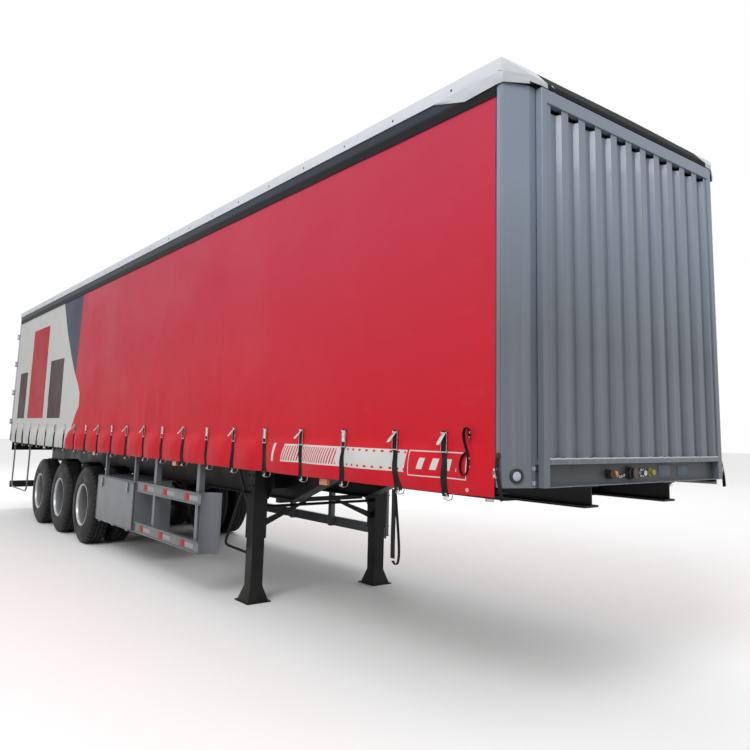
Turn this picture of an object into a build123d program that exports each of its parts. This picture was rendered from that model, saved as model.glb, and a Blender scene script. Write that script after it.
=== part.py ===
"""Curtain-side semi-trailer on three twin-wheeled axles, parked on its landing legs.

Millimetres, x forward, y to the left, z up, origin on the ground under the middle.
"""

import os
from math import atan2, degrees

from build123d import *

os.makedirs("parts", exist_ok=True)

SIDES = {"right": -1, "left": 1}

# Sides of the round pieces, which are turned as prisms
TUBE_SIDES = 6
PIN_SIDES = 8
SHAFT_SIDES = 12
WHEEL_SIDES = 24

# Overall sizes
LENGTH = 13600
BODY_WIDTH = 2500  # over the outer faces of the curtains
FRONT = LENGTH / 2
HALF = BODY_WIDTH / 2

# Heights of the body's upper members
ROOF_RAIL_TOP = 3840
ROOF_RAIL_BOTTOM = ROOF_RAIL_TOP - 140
POST_TOP = ROOF_RAIL_TOP - 60
WALL_TOP = POST_TOP - 4
REAR_HEADER_BOTTOM = ROOF_RAIL_TOP - 200
ROD_TOP = REAR_HEADER_BOTTOM + 32

# Chassis beams, with the raised neck over the towing vehicle
BEAM_Y = 450
BEAM_TOP = 1370
BEAM_BOTTOM = 970
NECK_BOTTOM = 1230
NECK_REAR = FRONT - 3600
NECK_SLOPE = 700
BEAM_FRONT = FRONT - 100
BEAM_WEB = 10
BEAM_FLANGE = 14
BEAM_FLANGE_WIDTH = 140

# Deck, cross members and side rails
CROSS_DEPTH = 100
CROSS_FLANGE = 50
CROSS_WALL = 6
CROSS_COUNT = 23
CROSS_END = 40  # from the rear frame and the front posts to the outer members
DECK_THICKNESS = 30
DECK_BOTTOM = BEAM_TOP + CROSS_DEPTH
DECK_TOP = DECK_BOTTOM + DECK_THICKNESS
RAIL_HEIGHT = 160
RAIL_WALL = 6
RAIL_FLANGE = 80
RAIL_INSET = 15  # rail's face behind the curtain's outer face
RAIL_OUT = HALF - RAIL_INSET
RAIL_IN = RAIL_OUT - RAIL_FLANGE
RAIL_BOTTOM = DECK_TOP - RAIL_HEIGHT

# Coupler plate and kingpin
KINGPIN_X = FRONT - 1400
COUPLER_PLATE = 12
COUPLER_BEHIND = 550
COUPLER_AHEAD = 650
COUPLER_BAR = 60
KINGPIN_COLLAR_RADIUS = 36.5
KINGPIN_NECK_RADIUS = 25.4
KINGPIN_HEAD_RADIUS = 35.7
KINGPIN_COLLAR = 25
KINGPIN_NECK = 35
KINGPIN_HEAD = 24
KINGPIN_TOP_RADIUS = 80
KINGPIN_TOP = 20
KINGPIN_FIT = 0.1

# Front wall
WALL_HALF = 1020  # frame's outer edges
WALL_BAR = 50
WALL_DEPTH = 50
WALL_BOTTOM = 1374
HEADER_HEIGHT = 86
SILL_LIP_BOTTOM = 1504
SILL_LIP = 32
SILL_EDGE = 6
SILL_WEB = 6
RIB_COUNT = 11
RIB_EDGE = 7.5  # plain strip outside the outer ribs
RIB_FLOOR = 71
RIB_SLOPE = 18
RIB_DEPTH = 32
RIB_OPENING = 64  # left open under the header at the top of each valley
SHEET = 3
SHEET_INSET = 10  # crests behind the frame's face

# Air couplings and electric sockets
# columns: y, z, base radius, body radius, body length
COUPLINGS = (
    (-344, 1436, 32, 24, 44),
    (-119, 1440, 42, 36, 34),
    (20, 1438, 38, 31, 30),
    (121, 1440, 28, 20, 40),
)
COUPLING_BASE = 8

# Front corner posts
POST_SIDE_REAR = FRONT - 156
POST_SIDE_FRONT = FRONT - 114
POST_SLANT_Y = 1081
FRONT_LAMP_Z = 1440
FRONT_LAMP_RADIUS = 40
FRONT_LAMP_DEPTH = 10

# Rear frame and doors
REAR_FACE = -FRONT + 55
REAR_DEPTH = 105
REAR_FRONT = REAR_FACE + REAR_DEPTH
REAR_POST_IN = HALF - 105
REAR_PANEL_BOTTOM = 1150
REAR_PANEL = 10
REAR_PANEL_HALF = 1200
TAIL_LAMP_RADIUS = 60
TAIL_LAMP_DEPTH = 22
TAIL_LAMP_PLACES = (1090, 940, 790)
DOOR_OUTER = REAR_FACE - 7
DOOR_THICKNESS = 40
DOOR_SIDE_GAP = 6
DOOR_CENTRE_GAP = 6  # from the middle plane to each door's edge
DOOR_SILL_GAP = 10
DOOR_HEADER_GAP = 6
DOOR_RECESS = 14
DOOR_FRAME = 90
HINGE_X = -FRONT + 16
HINGE_Y = HALF + 12
HINGE_PIN_RADIUS = 9
HINGE_EYE_RADIUS = 16
HINGE_FIT = 0.1
HINGE_EYE = 60
HINGE_LUG = 20
HINGE_SLACK = 0.5
HINGE_BLADE = 8
HINGE_BLADE_END = REAR_POST_IN - DOOR_SIDE_GAP - DOOR_FRAME
HINGE_HEIGHTS = (1720, 2300, 2880, 3440)
ROD_RADIUS = 14
# columns: place, handle's height, handle's way along y
RODS = ((190, 1900, 1), (800, 1800, -1))
ROD_BOTTOM = 1468
ROD_GUIDE = 46
ROD_GUIDE_HEIGHTS = (1640, 2200, 2900, 3460)
HANDLE_LENGTH = 420
KEEPER = 32
KEEPER_GAP = 6

# Roof
ROOF_RAIL_DEPTH = 80
ROOF_LIP = 6
CURTAIN = 6
CURTAIN_SLOT = 60
CURTAIN_HEEL = 30
ROOF_EDGE = ROOF_RAIL_TOP + 95
ROOF_CROWN = 25
ROOF_OVERHANG = 12
ROOF_FRONT_BREAK = FRONT - 110
ROOF_NOSE = FRONT - 2
ROOF_NOSE_TOP = POST_TOP + 35
ROOF_NOSE_HALF = 1030
TARP = 6
BOW_COUNT = 11
BOW_PITCH = 1200
BOW_WIDTH = 40
BOW_HEIGHT = 42
BOW_LEG = 40
BOW_UNDER = 2

# Curtains and their straps
CURTAIN_BOTTOM = 1315
CURTAIN_FRONT = POST_SIDE_REAR - 8
STRAP_COUNT = 22
STRAP_FIRST = FRONT - 585
STRAP_SECOND = FRONT - 1065
STRAP_PITCH = 595
STRAP_WIDTH = 45
STRAP = 3
BUCKLE = 12
BUCKLE_TOP = 1685
BUCKLE_BOTTOM = 1540
HOOK_BOTTOM = 1284
HOOK = 6
HOOK_REACH = 50

# Landing legs
LEG_X = FRONT - 3880
LEG_Y = 753
LEG_OUTER = 150
LEG_WALL = 10
LEG_FIT = 0.2
LEG_STEP = 600
LEG_SOCKET = 980
LEG_FOOT_TOP = 150
FOOT_LENGTH = 280
FOOT_WIDTH = 250
FOOT_PLATE = 12
FOOT_FLARE = 45  # how far the flare stands out from the leg
LEG_PLATE = 12
LEG_PLATE_HALF = 190
LEG_PLATE_STEP = 1130
LEG_PLATE_BOTTOM = 980
LEG_BRACKET = 120
LEG_BRACKET_BOTTOM = 1080
LEG_BRACKET_TOP = 1340
TIE_HEIGHT = 40
TIE_WIDTH = 80
BRACE = 12
BRACE_DEPTH = 70
BRACE_LOW = 700
SHAFT_Z = 900
SHAFT_RADIUS = 16
CRANK_RADIUS = 13
CRANK_BEND = 60
CRANK_BEHIND = 30  # its boss behind the leg's middle
CRANK_OUT = 85
CRANK_TOP = 1045
CRANK_SWING = 350
CRANK_LOW = 507
CRANK_GRIP = 440
CRANK_GRIP_IN = 20

# Side guards and toolbox
GUARD_Y = 1200
GUARD_DEPTH = 30
GUARD_RAIL = 120
GUARD_TOP = 1020
GUARD_BOTTOM = 430
GUARD_REAR = FRONT - 6050
GUARD_FRONT = FRONT - 4220
GUARD_NOSE = 155
GUARD_STEP = 4
GUARD_SHEET = 6
GUARD_NOSE_TOP = 1030
GUARD_POST_WIDTH = 70
GUARD_POST_DEPTH = 60
# behind the guard's front end
GUARD_POSTS = {"right": (160, 1360), "left": (160, 1150, 2140, 3180)}
BOX_REAR = FRONT - 7580
BOX_FRONT = FRONT - 6130
BOX_BOTTOM = 420
BOX_TOP = 1010
BOX_DEPTH = 450
BOX_WALL = 10
BOX_HANGER_IN = 150  # from the box's ends
BOX_HANGER = 40
LID = 12
LID_GAP = 5
LID_EDGE = 12
LID_HINGE_IN = 180  # from the box's ends to the outer hinges
LID_PIN_RADIUS = 5
LID_EYE_RADIUS = 9
LID_EYE = 60
LID_LUG = 12
LID_LATCH_IN = 220

# Running gear
AXLE_FIRST = FRONT - 8330
AXLE_PITCH = 1310
AXLE_COUNT = 3
TYRE_RADIUS = 540
TYRE_WIDTH = 300
TYRE_OUT = 1210
TWIN_PITCH = 345
SIDEWALL_RADIUS = 356
SHOULDER_IN = 24
SHOULDER_RADIUS = 475
TREAD_IN = 48
# columns: distance in from the tyre's outer face, radius
TYRE_SHAPE = (
    (0, SIDEWALL_RADIUS),
    (SHOULDER_IN, SHOULDER_RADIUS),
    (TREAD_IN, TYRE_RADIUS),
    (TYRE_WIDTH - TREAD_IN, TYRE_RADIUS),
    (TYRE_WIDTH - SHOULDER_IN, SHOULDER_RADIUS),
    (TYRE_WIDTH, SIDEWALL_RADIUS),
)
RIM_RADIUS = 285
BEAD_FIT = 0.3
RIM_BORE = 262
RIM_EDGE = 22
DISC = 36
HUB_RADIUS = 130
HUB_LENGTH = 162.5
CAP_RADIUS = 75
CAP_LENGTH = 35
DRUM_LENGTH = 265.5
AXLE_RADIUS = 75
AXLE_GAP = 22  # from the axle tube's end to the drum
SPINDLE_RADIUS = 45
SPINDLE_REACH = 102.5  # past the wheel discs
SPINDLE_SLACK = 5
HUB_FIT = 0.08
DRUM_RADIUS = 210
CHAMBER_Y = 320
CHAMBER_RADIUS = 80
CHAMBER_LENGTH = 150
CHAMBER_REACH = 120
SPRING_SEAT = 660
SPRING_REACH = 560
SPRING_RISE = 85
SPRING_WIDTH = 90
SPRING_MID = 60
SPRING_END = 31
ROCKER_LENGTH = 280
ROCKER_HEIGHT = 64
HANGER_LENGTH = 120
HANGER_WIDTH = 110

# Rear guard, tubes, tank and lamps
BUMPER_BOTTOM = 420
BUMPER_HEIGHT = 120
BUMPER_DEPTH = 100
BUMPER_HALF = 1180
BUMPER_REAR = -FRONT + 60
BUMPER_BRACKET = 20
TUBE_RADIUS = 14
TUBE_BEND = 140
TUBE_REAR = -FRONT + 350
TUBE_FRONT = -FRONT + 1650
TUBE_BOTTOM = 450
TUBE_Y = 1190
TANK_CROSS = 12  # which cross member carries the tank, counted from the rear
TANK_Z = 1110
TANK_RADIUS = 120
TANK_HALF = 320
MARKERS = (1940, 4870, 7800, 10700, 13050)  # behind the front
MARKER_WIDTH = 100
MARKER_TOP = 1310
MARKER_BOTTOM = 1265
MARKER_OUT = 1240
MARKER_DEPTH = 25


def finish(piece, name):
    """Labels a finished piece and writes its file."""
    piece.part.label = name
    export_step(piece.part, f"parts/{name}.step")


# Two I-beams with a stepped neck, welded from a cut web and two flanges
beam_rear = REAR_FRONT
neck_front = NECK_REAR + NECK_SLOPE
beam_under = [
    (beam_rear, BEAM_BOTTOM),
    (NECK_REAR, BEAM_BOTTOM),
    (neck_front, NECK_BOTTOM),
    (BEAM_FRONT, NECK_BOTTOM),
]
beam_over = [(x, z + BEAM_FLANGE) for x, z in reversed(beam_under)]
with BuildPart() as main_beams:
    for side in SIDES.values():
        beam_plane = Plane.XZ.offset(-side * BEAM_Y)
        with BuildSketch(beam_plane):
            with BuildLine():
                Polyline(*beam_under, (BEAM_FRONT, BEAM_TOP), (beam_rear, BEAM_TOP), close=True)
            make_face()
        extrude(amount=BEAM_WEB / 2, both=True)
        with BuildSketch(beam_plane):
            with BuildLine():
                Polyline(*beam_under, *beam_over, close=True)
            make_face()
            with BuildLine():
                Polyline(
                    (beam_rear, BEAM_TOP - BEAM_FLANGE),
                    (BEAM_FRONT, BEAM_TOP - BEAM_FLANGE),
                    (BEAM_FRONT, BEAM_TOP),
                    (beam_rear, BEAM_TOP),
                    close=True,
                )
            make_face()
        extrude(amount=BEAM_FLANGE_WIDTH / 2, both=True)
finish(main_beams, "main_beams")

# Channels across the beams, ending inside the side rails
cross_start = REAR_FRONT + CROSS_END
cross_pitch = (POST_SIDE_REAR - CROSS_END - CROSS_FLANGE - cross_start) / (CROSS_COUNT - 1)
with BuildPart() as cross_members:
    for index in range(CROSS_COUNT):
        x = cross_start + index * cross_pitch
        with BuildSketch(Plane.XZ):
            with Locations((x, BEAM_TOP)):
                Rectangle(CROSS_FLANGE, CROSS_DEPTH, align=(Align.MIN, Align.MIN))
            with Locations((x + CROSS_WALL, BEAM_TOP + CROSS_WALL)):
                Rectangle(
                    CROSS_FLANGE,
                    CROSS_DEPTH - 2 * CROSS_WALL,
                    align=(Align.MIN, Align.MIN),
                    mode=Mode.SUBTRACT,
                )
        extrude(amount=RAIL_OUT - RAIL_WALL, both=True)
finish(cross_members, "cross_members")

# Side rails: channels whose flanges point inwards, one each side
for name, side in SIDES.items():
    with BuildPart() as side_rail:
        with BuildSketch(Plane.YZ.offset(REAR_FRONT)):
            with BuildLine():
                Polyline(
                    (side * RAIL_IN, RAIL_BOTTOM),
                    (side * RAIL_OUT, RAIL_BOTTOM),
                    (side * RAIL_OUT, DECK_TOP),
                    (side * RAIL_IN, DECK_TOP),
                    (side * RAIL_IN, DECK_TOP - RAIL_WALL),
                    (side * (RAIL_OUT - RAIL_WALL), DECK_TOP - RAIL_WALL),
                    (side * (RAIL_OUT - RAIL_WALL), RAIL_BOTTOM + RAIL_WALL),
                    (side * RAIL_IN, RAIL_BOTTOM + RAIL_WALL),
                    close=True,
                )
            make_face()
        extrude(amount=POST_SIDE_REAR - REAR_FRONT)
    finish(side_rail, f"side_rail_{name}")

# Deck plate, narrower where it runs between the front posts
deck_front = FRONT - WALL_DEPTH - SILL_WEB
with BuildPart() as deck:
    with BuildSketch(Plane.XY.offset(DECK_BOTTOM)):
        with BuildLine():
            Polyline(
                (REAR_FRONT, -RAIL_IN),
                (POST_SIDE_REAR, -RAIL_IN),
                (POST_SIDE_REAR, -WALL_HALF),
                (deck_front, -WALL_HALF),
                (deck_front, WALL_HALF),
                (POST_SIDE_REAR, WALL_HALF),
                (POST_SIDE_REAR, RAIL_IN),
                (REAR_FRONT, RAIL_IN),
                close=True,
            )
        make_face()
    extrude(amount=DECK_THICKNESS)
finish(deck, "deck")

# Coupler plate under the neck, with cross bars between the beams
coupler_bottom = NECK_BOTTOM - COUPLER_PLATE
coupler_half = BEAM_Y + BEAM_FLANGE_WIDTH / 2
coupler_inner = BEAM_Y - BEAM_FLANGE_WIDTH / 2
with BuildPart() as coupler_plate:
    with BuildSketch(Plane.XY.offset(coupler_bottom)):
        with Locations((KINGPIN_X - COUPLER_BEHIND, 0)):
            Rectangle(
                COUPLER_BEHIND + COUPLER_AHEAD,
                2 * coupler_half,
                align=(Align.MIN, Align.CENTER),
            )
        with Locations((KINGPIN_X, 0)):
            Circle(KINGPIN_COLLAR_RADIUS + KINGPIN_FIT, mode=Mode.SUBTRACT)
    extrude(amount=COUPLER_PLATE)
    with BuildSketch(Plane.XY.offset(NECK_BOTTOM)):
        for x in (
            KINGPIN_X - COUPLER_BEHIND + COUPLER_BAR,
            KINGPIN_X - 2 * KINGPIN_TOP_RADIUS,
            KINGPIN_X + 2 * KINGPIN_TOP_RADIUS,
            KINGPIN_X + COUPLER_AHEAD - COUPLER_BAR,
        ):
            with Locations((x, 0)):
                Rectangle(COUPLER_BAR, 2 * coupler_inner)
    extrude(amount=BEAM_TOP - NECK_BOTTOM)
finish(coupler_plate, "coupler_plate")

# Kingpin: a turned pin whose top flange sits on the plate
kingpin_levels = [
    (KINGPIN_TOP_RADIUS, NECK_BOTTOM + KINGPIN_TOP, NECK_BOTTOM),
    (KINGPIN_COLLAR_RADIUS, NECK_BOTTOM, coupler_bottom - KINGPIN_COLLAR),
    (KINGPIN_NECK_RADIUS, coupler_bottom - KINGPIN_COLLAR, coupler_bottom - KINGPIN_COLLAR - KINGPIN_NECK),
]
kingpin_head_top = kingpin_levels[-1][2]
kingpin_levels.append((KINGPIN_HEAD_RADIUS, kingpin_head_top, kingpin_head_top - KINGPIN_HEAD))
with BuildPart() as kingpin:
    for radius, top, bottom in kingpin_levels:
        with BuildSketch(Plane.XY.offset(bottom)):
            with Locations((KINGPIN_X, 0)):
                Circle(radius)
        extrude(amount=top - bottom)
finish(kingpin, "kingpin")

# Front frame: two bars, a header and a sill whose face is set back
wall_back = FRONT - WALL_DEPTH
sheet_half = WALL_HALF - WALL_BAR
sheet_bottom = SILL_LIP_BOTTOM + SILL_LIP
sheet_top = WALL_TOP - HEADER_HEIGHT
with BuildPart() as front_frame:
    with BuildSketch(Plane.YZ.offset(wall_back)):
        with Locations((0, WALL_BOTTOM)):
            Rectangle(2 * WALL_HALF, WALL_TOP - WALL_BOTTOM, align=(Align.CENTER, Align.MIN))
        for low, high in ((WALL_BOTTOM + SILL_EDGE, SILL_LIP_BOTTOM), (sheet_bottom, sheet_top)):
            with Locations((0, low)):
                Rectangle(
                    2 * sheet_half,
                    high - low,
                    align=(Align.CENTER, Align.MIN),
                    mode=Mode.SUBTRACT,
                )
    extrude(amount=WALL_DEPTH)
    with BuildSketch(Plane.YZ.offset(wall_back)):
        with Locations((0, WALL_BOTTOM)):
            Rectangle(2 * WALL_HALF, sheet_bottom - WALL_BOTTOM, align=(Align.CENTER, Align.MIN))
    extrude(amount=-SILL_WEB)
finish(front_frame, "front_frame")

# Ribbed front sheet: folded steel with flat crests and set-back valleys
crest_x = FRONT - SHEET_INSET
valley_x = crest_x - RIB_DEPTH
rib_pitch = 2 * (sheet_half - RIB_EDGE) / RIB_COUNT
rib_mouth = RIB_FLOOR / 2 + RIB_SLOPE
rib_middles = [(index - (RIB_COUNT - 1) / 2) * rib_pitch for index in range(RIB_COUNT)]
front_line = [(crest_x, -sheet_half)]
for middle in rib_middles:
    front_line += [
        (crest_x, middle - rib_mouth),
        (valley_x, middle - RIB_FLOOR / 2),
        (valley_x, middle + RIB_FLOOR / 2),
        (crest_x, middle + rib_mouth),
    ]
front_line.append((crest_x, sheet_half))
back_line = [(x - SHEET, y) for x, y in reversed(front_line)]
with BuildPart() as front_sheet:
    with BuildSketch(Plane.XY.offset(sheet_bottom)):
        with BuildLine():
            Polyline(*front_line, *back_line, close=True)
        make_face()
    extrude(amount=sheet_top - sheet_bottom)
    with BuildSketch(Plane.YZ.offset(wall_back)):
        for middle in rib_middles:
            with Locations((middle, sheet_top)):
                Rectangle(2 * rib_mouth, RIB_OPENING, align=(Align.CENTER, Align.MAX))
    extrude(amount=WALL_DEPTH, mode=Mode.SUBTRACT)
finish(front_sheet, "front_sheet")

# Air couplings and electric sockets on the sill's set-back face
with BuildPart() as front_couplings:
    for y, z, base_radius, body_radius, body_length in COUPLINGS:
        for radius, length in ((base_radius, COUPLING_BASE), (body_radius, body_length)):
            with BuildSketch(Plane.YZ.offset(wall_back)):
                with Locations((y, z)):
                    RegularPolygon(radius, SHAFT_SIDES)
            extrude(amount=length)
finish(front_couplings, "front_couplings")

# Front corner posts: folded sections with a slanted front face
for name, side in SIDES.items():
    with BuildPart() as front_post:
        with BuildSketch(Plane.XY.offset(WALL_BOTTOM)):
            with BuildLine():
                Polyline(
                    (POST_SIDE_REAR, side * HALF),
                    (POST_SIDE_FRONT, side * HALF),
                    (wall_back, side * POST_SLANT_Y),
                    (wall_back, side * WALL_HALF),
                    (POST_SIDE_REAR, side * WALL_HALF),
                    close=True,
                )
            make_face()
        extrude(amount=POST_TOP - WALL_BOTTOM)
    finish(front_post, f"front_post_{name}")

# Round marker lamps on the posts' slanted faces
lamp_middle_x = (POST_SIDE_FRONT + wall_back) / 2
lamp_middle_y = (HALF + POST_SLANT_Y) / 2
with BuildPart() as front_lamps:
    for side in SIDES.values():
        lamp_plane = Plane(
            origin=(lamp_middle_x, side * lamp_middle_y, FRONT_LAMP_Z),
            x_dir=(0, 0, 1),
            z_dir=(HALF - POST_SLANT_Y, side * (wall_back - POST_SIDE_FRONT), 0),
        )
        with BuildSketch(lamp_plane):
            RegularPolygon(FRONT_LAMP_RADIUS, SHAFT_SIDES)
        extrude(amount=FRONT_LAMP_DEPTH)
finish(front_lamps, "front_lamps")

# Rear posts with the fixed halves of the door hinges
lug_offset = HINGE_EYE / 2 + HINGE_SLACK
for name, side in SIDES.items():
    with BuildPart() as rear_post:
        with BuildSketch(Plane.XY.offset(DECK_TOP)):
            with BuildLine():
                Polyline(
                    (REAR_FACE, side * REAR_POST_IN),
                    (REAR_FACE, side * HALF),
                    (REAR_FRONT, side * HALF),
                    (REAR_FRONT, side * REAR_POST_IN),
                    close=True,
                )
            make_face()
        extrude(amount=ROOF_RAIL_TOP - DECK_TOP)
        for height in HINGE_HEIGHTS:
            for low in (height - lug_offset - HINGE_LUG, height + lug_offset):
                with BuildSketch(Plane.XY.offset(low)):
                    with Locations((HINGE_X, side * HINGE_Y)):
                        RegularPolygon(HINGE_EYE_RADIUS, PIN_SIDES)
                    with BuildLine():
                        Polyline(
                            (HINGE_X, side * (HINGE_Y + HINGE_EYE_RADIUS)),
                            (HINGE_X, side * (HINGE_Y - HINGE_EYE_RADIUS)),
                            (REAR_FACE, side * (HALF - 3 * HINGE_EYE_RADIUS)),
                            (REAR_FACE, side * HALF),
                            close=True,
                        )
                    make_face()
                extrude(amount=HINGE_LUG)
            with BuildSketch(Plane.XY.offset(height - lug_offset)):
                with Locations((HINGE_X, side * HINGE_Y)):
                    RegularPolygon(HINGE_PIN_RADIUS, PIN_SIDES)
            extrude(amount=2 * lug_offset)
    finish(rear_post, f"rear_post_{name}")

# Rear header between the posts, with the keepers of the lock rods
with BuildPart() as rear_header:
    with BuildSketch(Plane.YZ.offset(REAR_FACE)):
        with Locations((0, REAR_HEADER_BOTTOM)):
            Rectangle(
                2 * REAR_POST_IN,
                ROOF_RAIL_TOP - REAR_HEADER_BOTTOM,
                align=(Align.CENTER, Align.MIN),
            )
    extrude(amount=REAR_DEPTH)
    with BuildSketch(Plane.YZ.offset(REAR_FACE)):
        for side in SIDES.values():
            for place, *_ in RODS:
                with Locations((side * place, ROD_TOP + KEEPER_GAP)):
                    Rectangle(2 * KEEPER, KEEPER, align=(Align.CENTER, Align.MIN))
    extrude(amount=-KEEPER)
finish(rear_header, "rear_header")

# Rear sill across the whole width, with its lamp panel and keepers
with BuildPart() as rear_sill:
    with BuildSketch(Plane.YZ.offset(REAR_FACE)):
        with Locations((0, RAIL_BOTTOM)):
            Rectangle(BODY_WIDTH, RAIL_HEIGHT, align=(Align.CENTER, Align.MIN))
    extrude(amount=REAR_DEPTH)
    with BuildSketch(Plane.YZ.offset(REAR_FACE)):
        with Locations((0, REAR_PANEL_BOTTOM)):
            Rectangle(
                2 * REAR_PANEL_HALF,
                RAIL_BOTTOM - REAR_PANEL_BOTTOM,
                align=(Align.CENTER, Align.MIN),
            )
    extrude(amount=REAR_PANEL)
    with BuildSketch(Plane.YZ.offset(REAR_FACE)):
        for side in SIDES.values():
            for place, *_ in RODS:
                with Locations((side * place, ROD_BOTTOM - KEEPER_GAP)):
                    Rectangle(2 * KEEPER, KEEPER, align=(Align.CENTER, Align.MAX))
    extrude(amount=-KEEPER)
finish(rear_sill, "rear_sill")

# Tail lamps in a row on the panel, three round ones each side
tail_lamp_z = (REAR_PANEL_BOTTOM + RAIL_BOTTOM) / 2
with BuildPart() as rear_lamps:
    for side in SIDES.values():
        for place in TAIL_LAMP_PLACES:
            with BuildSketch(Plane.YZ.offset(REAR_FACE)):
                with Locations((side * place, tail_lamp_z)):
                    RegularPolygon(TAIL_LAMP_RADIUS, SHAFT_SIDES)
            extrude(amount=-TAIL_LAMP_DEPTH)
finish(rear_lamps, "rear_lamps")

# Rear doors: framed panels with a set-back field, each with its hinge blades
door_edge = REAR_POST_IN - DOOR_SIDE_GAP
door_bottom = DECK_TOP + DOOR_SILL_GAP
door_top = REAR_HEADER_BOTTOM - DOOR_HEADER_GAP
for name, side in SIDES.items():
    with BuildPart() as door:
        with BuildSketch(Plane.YZ.offset(DOOR_OUTER)):
            with BuildLine():
                Polyline(
                    (side * DOOR_CENTRE_GAP, door_bottom),
                    (side * door_edge, door_bottom),
                    (side * door_edge, door_top),
                    (side * DOOR_CENTRE_GAP, door_top),
                    close=True,
                )
            make_face()
        extrude(amount=DOOR_THICKNESS)
        with BuildSketch(Plane.YZ.offset(DOOR_OUTER)):
            with BuildLine():
                Polyline(
                    (side * (DOOR_CENTRE_GAP + DOOR_FRAME), door_bottom + DOOR_FRAME),
                    (side * (door_edge - DOOR_FRAME), door_bottom + DOOR_FRAME),
                    (side * (door_edge - DOOR_FRAME), door_top - DOOR_FRAME),
                    (side * (DOOR_CENTRE_GAP + DOOR_FRAME), door_top - DOOR_FRAME),
                    close=True,
                )
            make_face()
        extrude(amount=DOOR_RECESS, mode=Mode.SUBTRACT)
    finish(door, f"door_{name}")

    # The moving hinge blades, lock rods, guides and handles of this door
    blade_x = DOOR_OUTER - HINGE_BLADE
    rod_x = DOOR_OUTER - ROD_RADIUS
    with BuildPart() as door_gear:
        for height in HINGE_HEIGHTS:
            with BuildSketch(Plane.XY.offset(height - HINGE_EYE / 2)):
                with Locations((HINGE_X, side * HINGE_Y)):
                    RegularPolygon(HINGE_EYE_RADIUS, PIN_SIDES)
                with BuildLine():
                    Polyline(
                        (DOOR_OUTER, side * HINGE_BLADE_END),
                        (DOOR_OUTER, side * (HINGE_Y - HINGE_EYE_RADIUS / 2)),
                        (HINGE_X, side * (HINGE_Y + HINGE_EYE_RADIUS / 2)),
                        (HINGE_X, side * (HINGE_Y - HINGE_EYE_RADIUS)),
                        (blade_x, side * (HINGE_Y - 2 * HINGE_EYE_RADIUS)),
                        (blade_x, side * HINGE_BLADE_END),
                        close=True,
                    )
                make_face()
                with Locations((HINGE_X, side * HINGE_Y)):
                    RegularPolygon(
                        HINGE_PIN_RADIUS + HINGE_FIT, PIN_SIDES, major_radius=False, mode=Mode.SUBTRACT
                    )
            extrude(amount=HINGE_EYE)
        for place, handle_z, way in RODS:
            with BuildSketch(Plane.XY.offset(ROD_BOTTOM)):
                with Locations((rod_x, side * place)):
                    RegularPolygon(ROD_RADIUS, TUBE_SIDES, major_radius=False, rotation=180 / TUBE_SIDES)
            extrude(amount=ROD_TOP - ROD_BOTTOM)
            for height in ROD_GUIDE_HEIGHTS:
                with BuildSketch(Plane.XY.offset(height)):
                    with Locations((DOOR_OUTER + DOOR_RECESS, side * place)):
                        Rectangle(
                            DOOR_RECESS + 2 * ROD_RADIUS + HINGE_BLADE,
                            2 * ROD_GUIDE,
                            align=(Align.MAX, Align.CENTER),
                        )
                extrude(amount=ROD_GUIDE)
            with BuildSketch(Plane.YZ.offset(rod_x)):
                with Locations((side * place, handle_z)):
                    Rectangle(2 * ROD_RADIUS, ROD_GUIDE)
                with Locations((side * (place + way * HANDLE_LENGTH / 2), handle_z)):
                    Rectangle(HANDLE_LENGTH, 2 * ROD_RADIUS)
            extrude(amount=-ROD_RADIUS - HINGE_BLADE)
    finish(door_gear, f"door_gear_{name}")

# Roof rails: long box sections with a lip that covers the curtain's top
slot_inner = HALF - CURTAIN
rail_back = slot_inner - ROOF_RAIL_DEPTH
for name, side in SIDES.items():
    with BuildPart() as roof_rail:
        with BuildSketch(Plane.YZ.offset(REAR_FRONT)):
            with BuildLine():
                Polyline(
                    (side * (HALF + ROOF_LIP), ROOF_RAIL_BOTTOM),
                    (side * (HALF + ROOF_LIP), ROOF_RAIL_TOP),
                    (side * rail_back, ROOF_RAIL_TOP),
                    (side * rail_back, ROOF_RAIL_BOTTOM + CURTAIN_HEEL),
                    (side * slot_inner, ROOF_RAIL_BOTTOM + CURTAIN_HEEL),
                    (side * slot_inner, ROOF_RAIL_BOTTOM + CURTAIN_SLOT),
                    (side * HALF, ROOF_RAIL_BOTTOM + CURTAIN_SLOT),
                    (side * HALF, ROOF_RAIL_BOTTOM),
                    close=True,
                )
            make_face()
        extrude(amount=POST_SIDE_REAR - REAR_FRONT)
    finish(roof_rail, f"roof_rail_{name}")

# Arched roof bows on the rails
bow_out = slot_inner - BOW_UNDER
bow_edge = ROOF_EDGE - TARP - BOW_UNDER
bow_start = -BOW_PITCH * (BOW_COUNT - 1) / 2
with BuildPart() as roof_bows:
    for index in range(BOW_COUNT):
        with BuildSketch(Plane.YZ.offset(bow_start + index * BOW_PITCH)):
            with BuildLine():
                ThreePointArc((-bow_out, bow_edge), (0, bow_edge + ROOF_CROWN), (bow_out, bow_edge))
                Polyline(
                    (bow_out, bow_edge),
                    (bow_out, ROOF_RAIL_TOP),
                    (bow_out - BOW_LEG, ROOF_RAIL_TOP),
                    (bow_out - BOW_LEG, bow_edge - BOW_HEIGHT),
                )
                ThreePointArc(
                    (bow_out - BOW_LEG, bow_edge - BOW_HEIGHT),
                    (0, bow_edge - BOW_HEIGHT + ROOF_CROWN),
                    (-bow_out + BOW_LEG, bow_edge - BOW_HEIGHT),
                )
                Polyline(
                    (-bow_out + BOW_LEG, bow_edge - BOW_HEIGHT),
                    (-bow_out + BOW_LEG, ROOF_RAIL_TOP),
                    (-bow_out, ROOF_RAIL_TOP),
                    (-bow_out, bow_edge),
                )
            make_face()
        extrude(amount=BOW_WIDTH / 2, both=True)
finish(roof_bows, "roof_bows")


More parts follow.
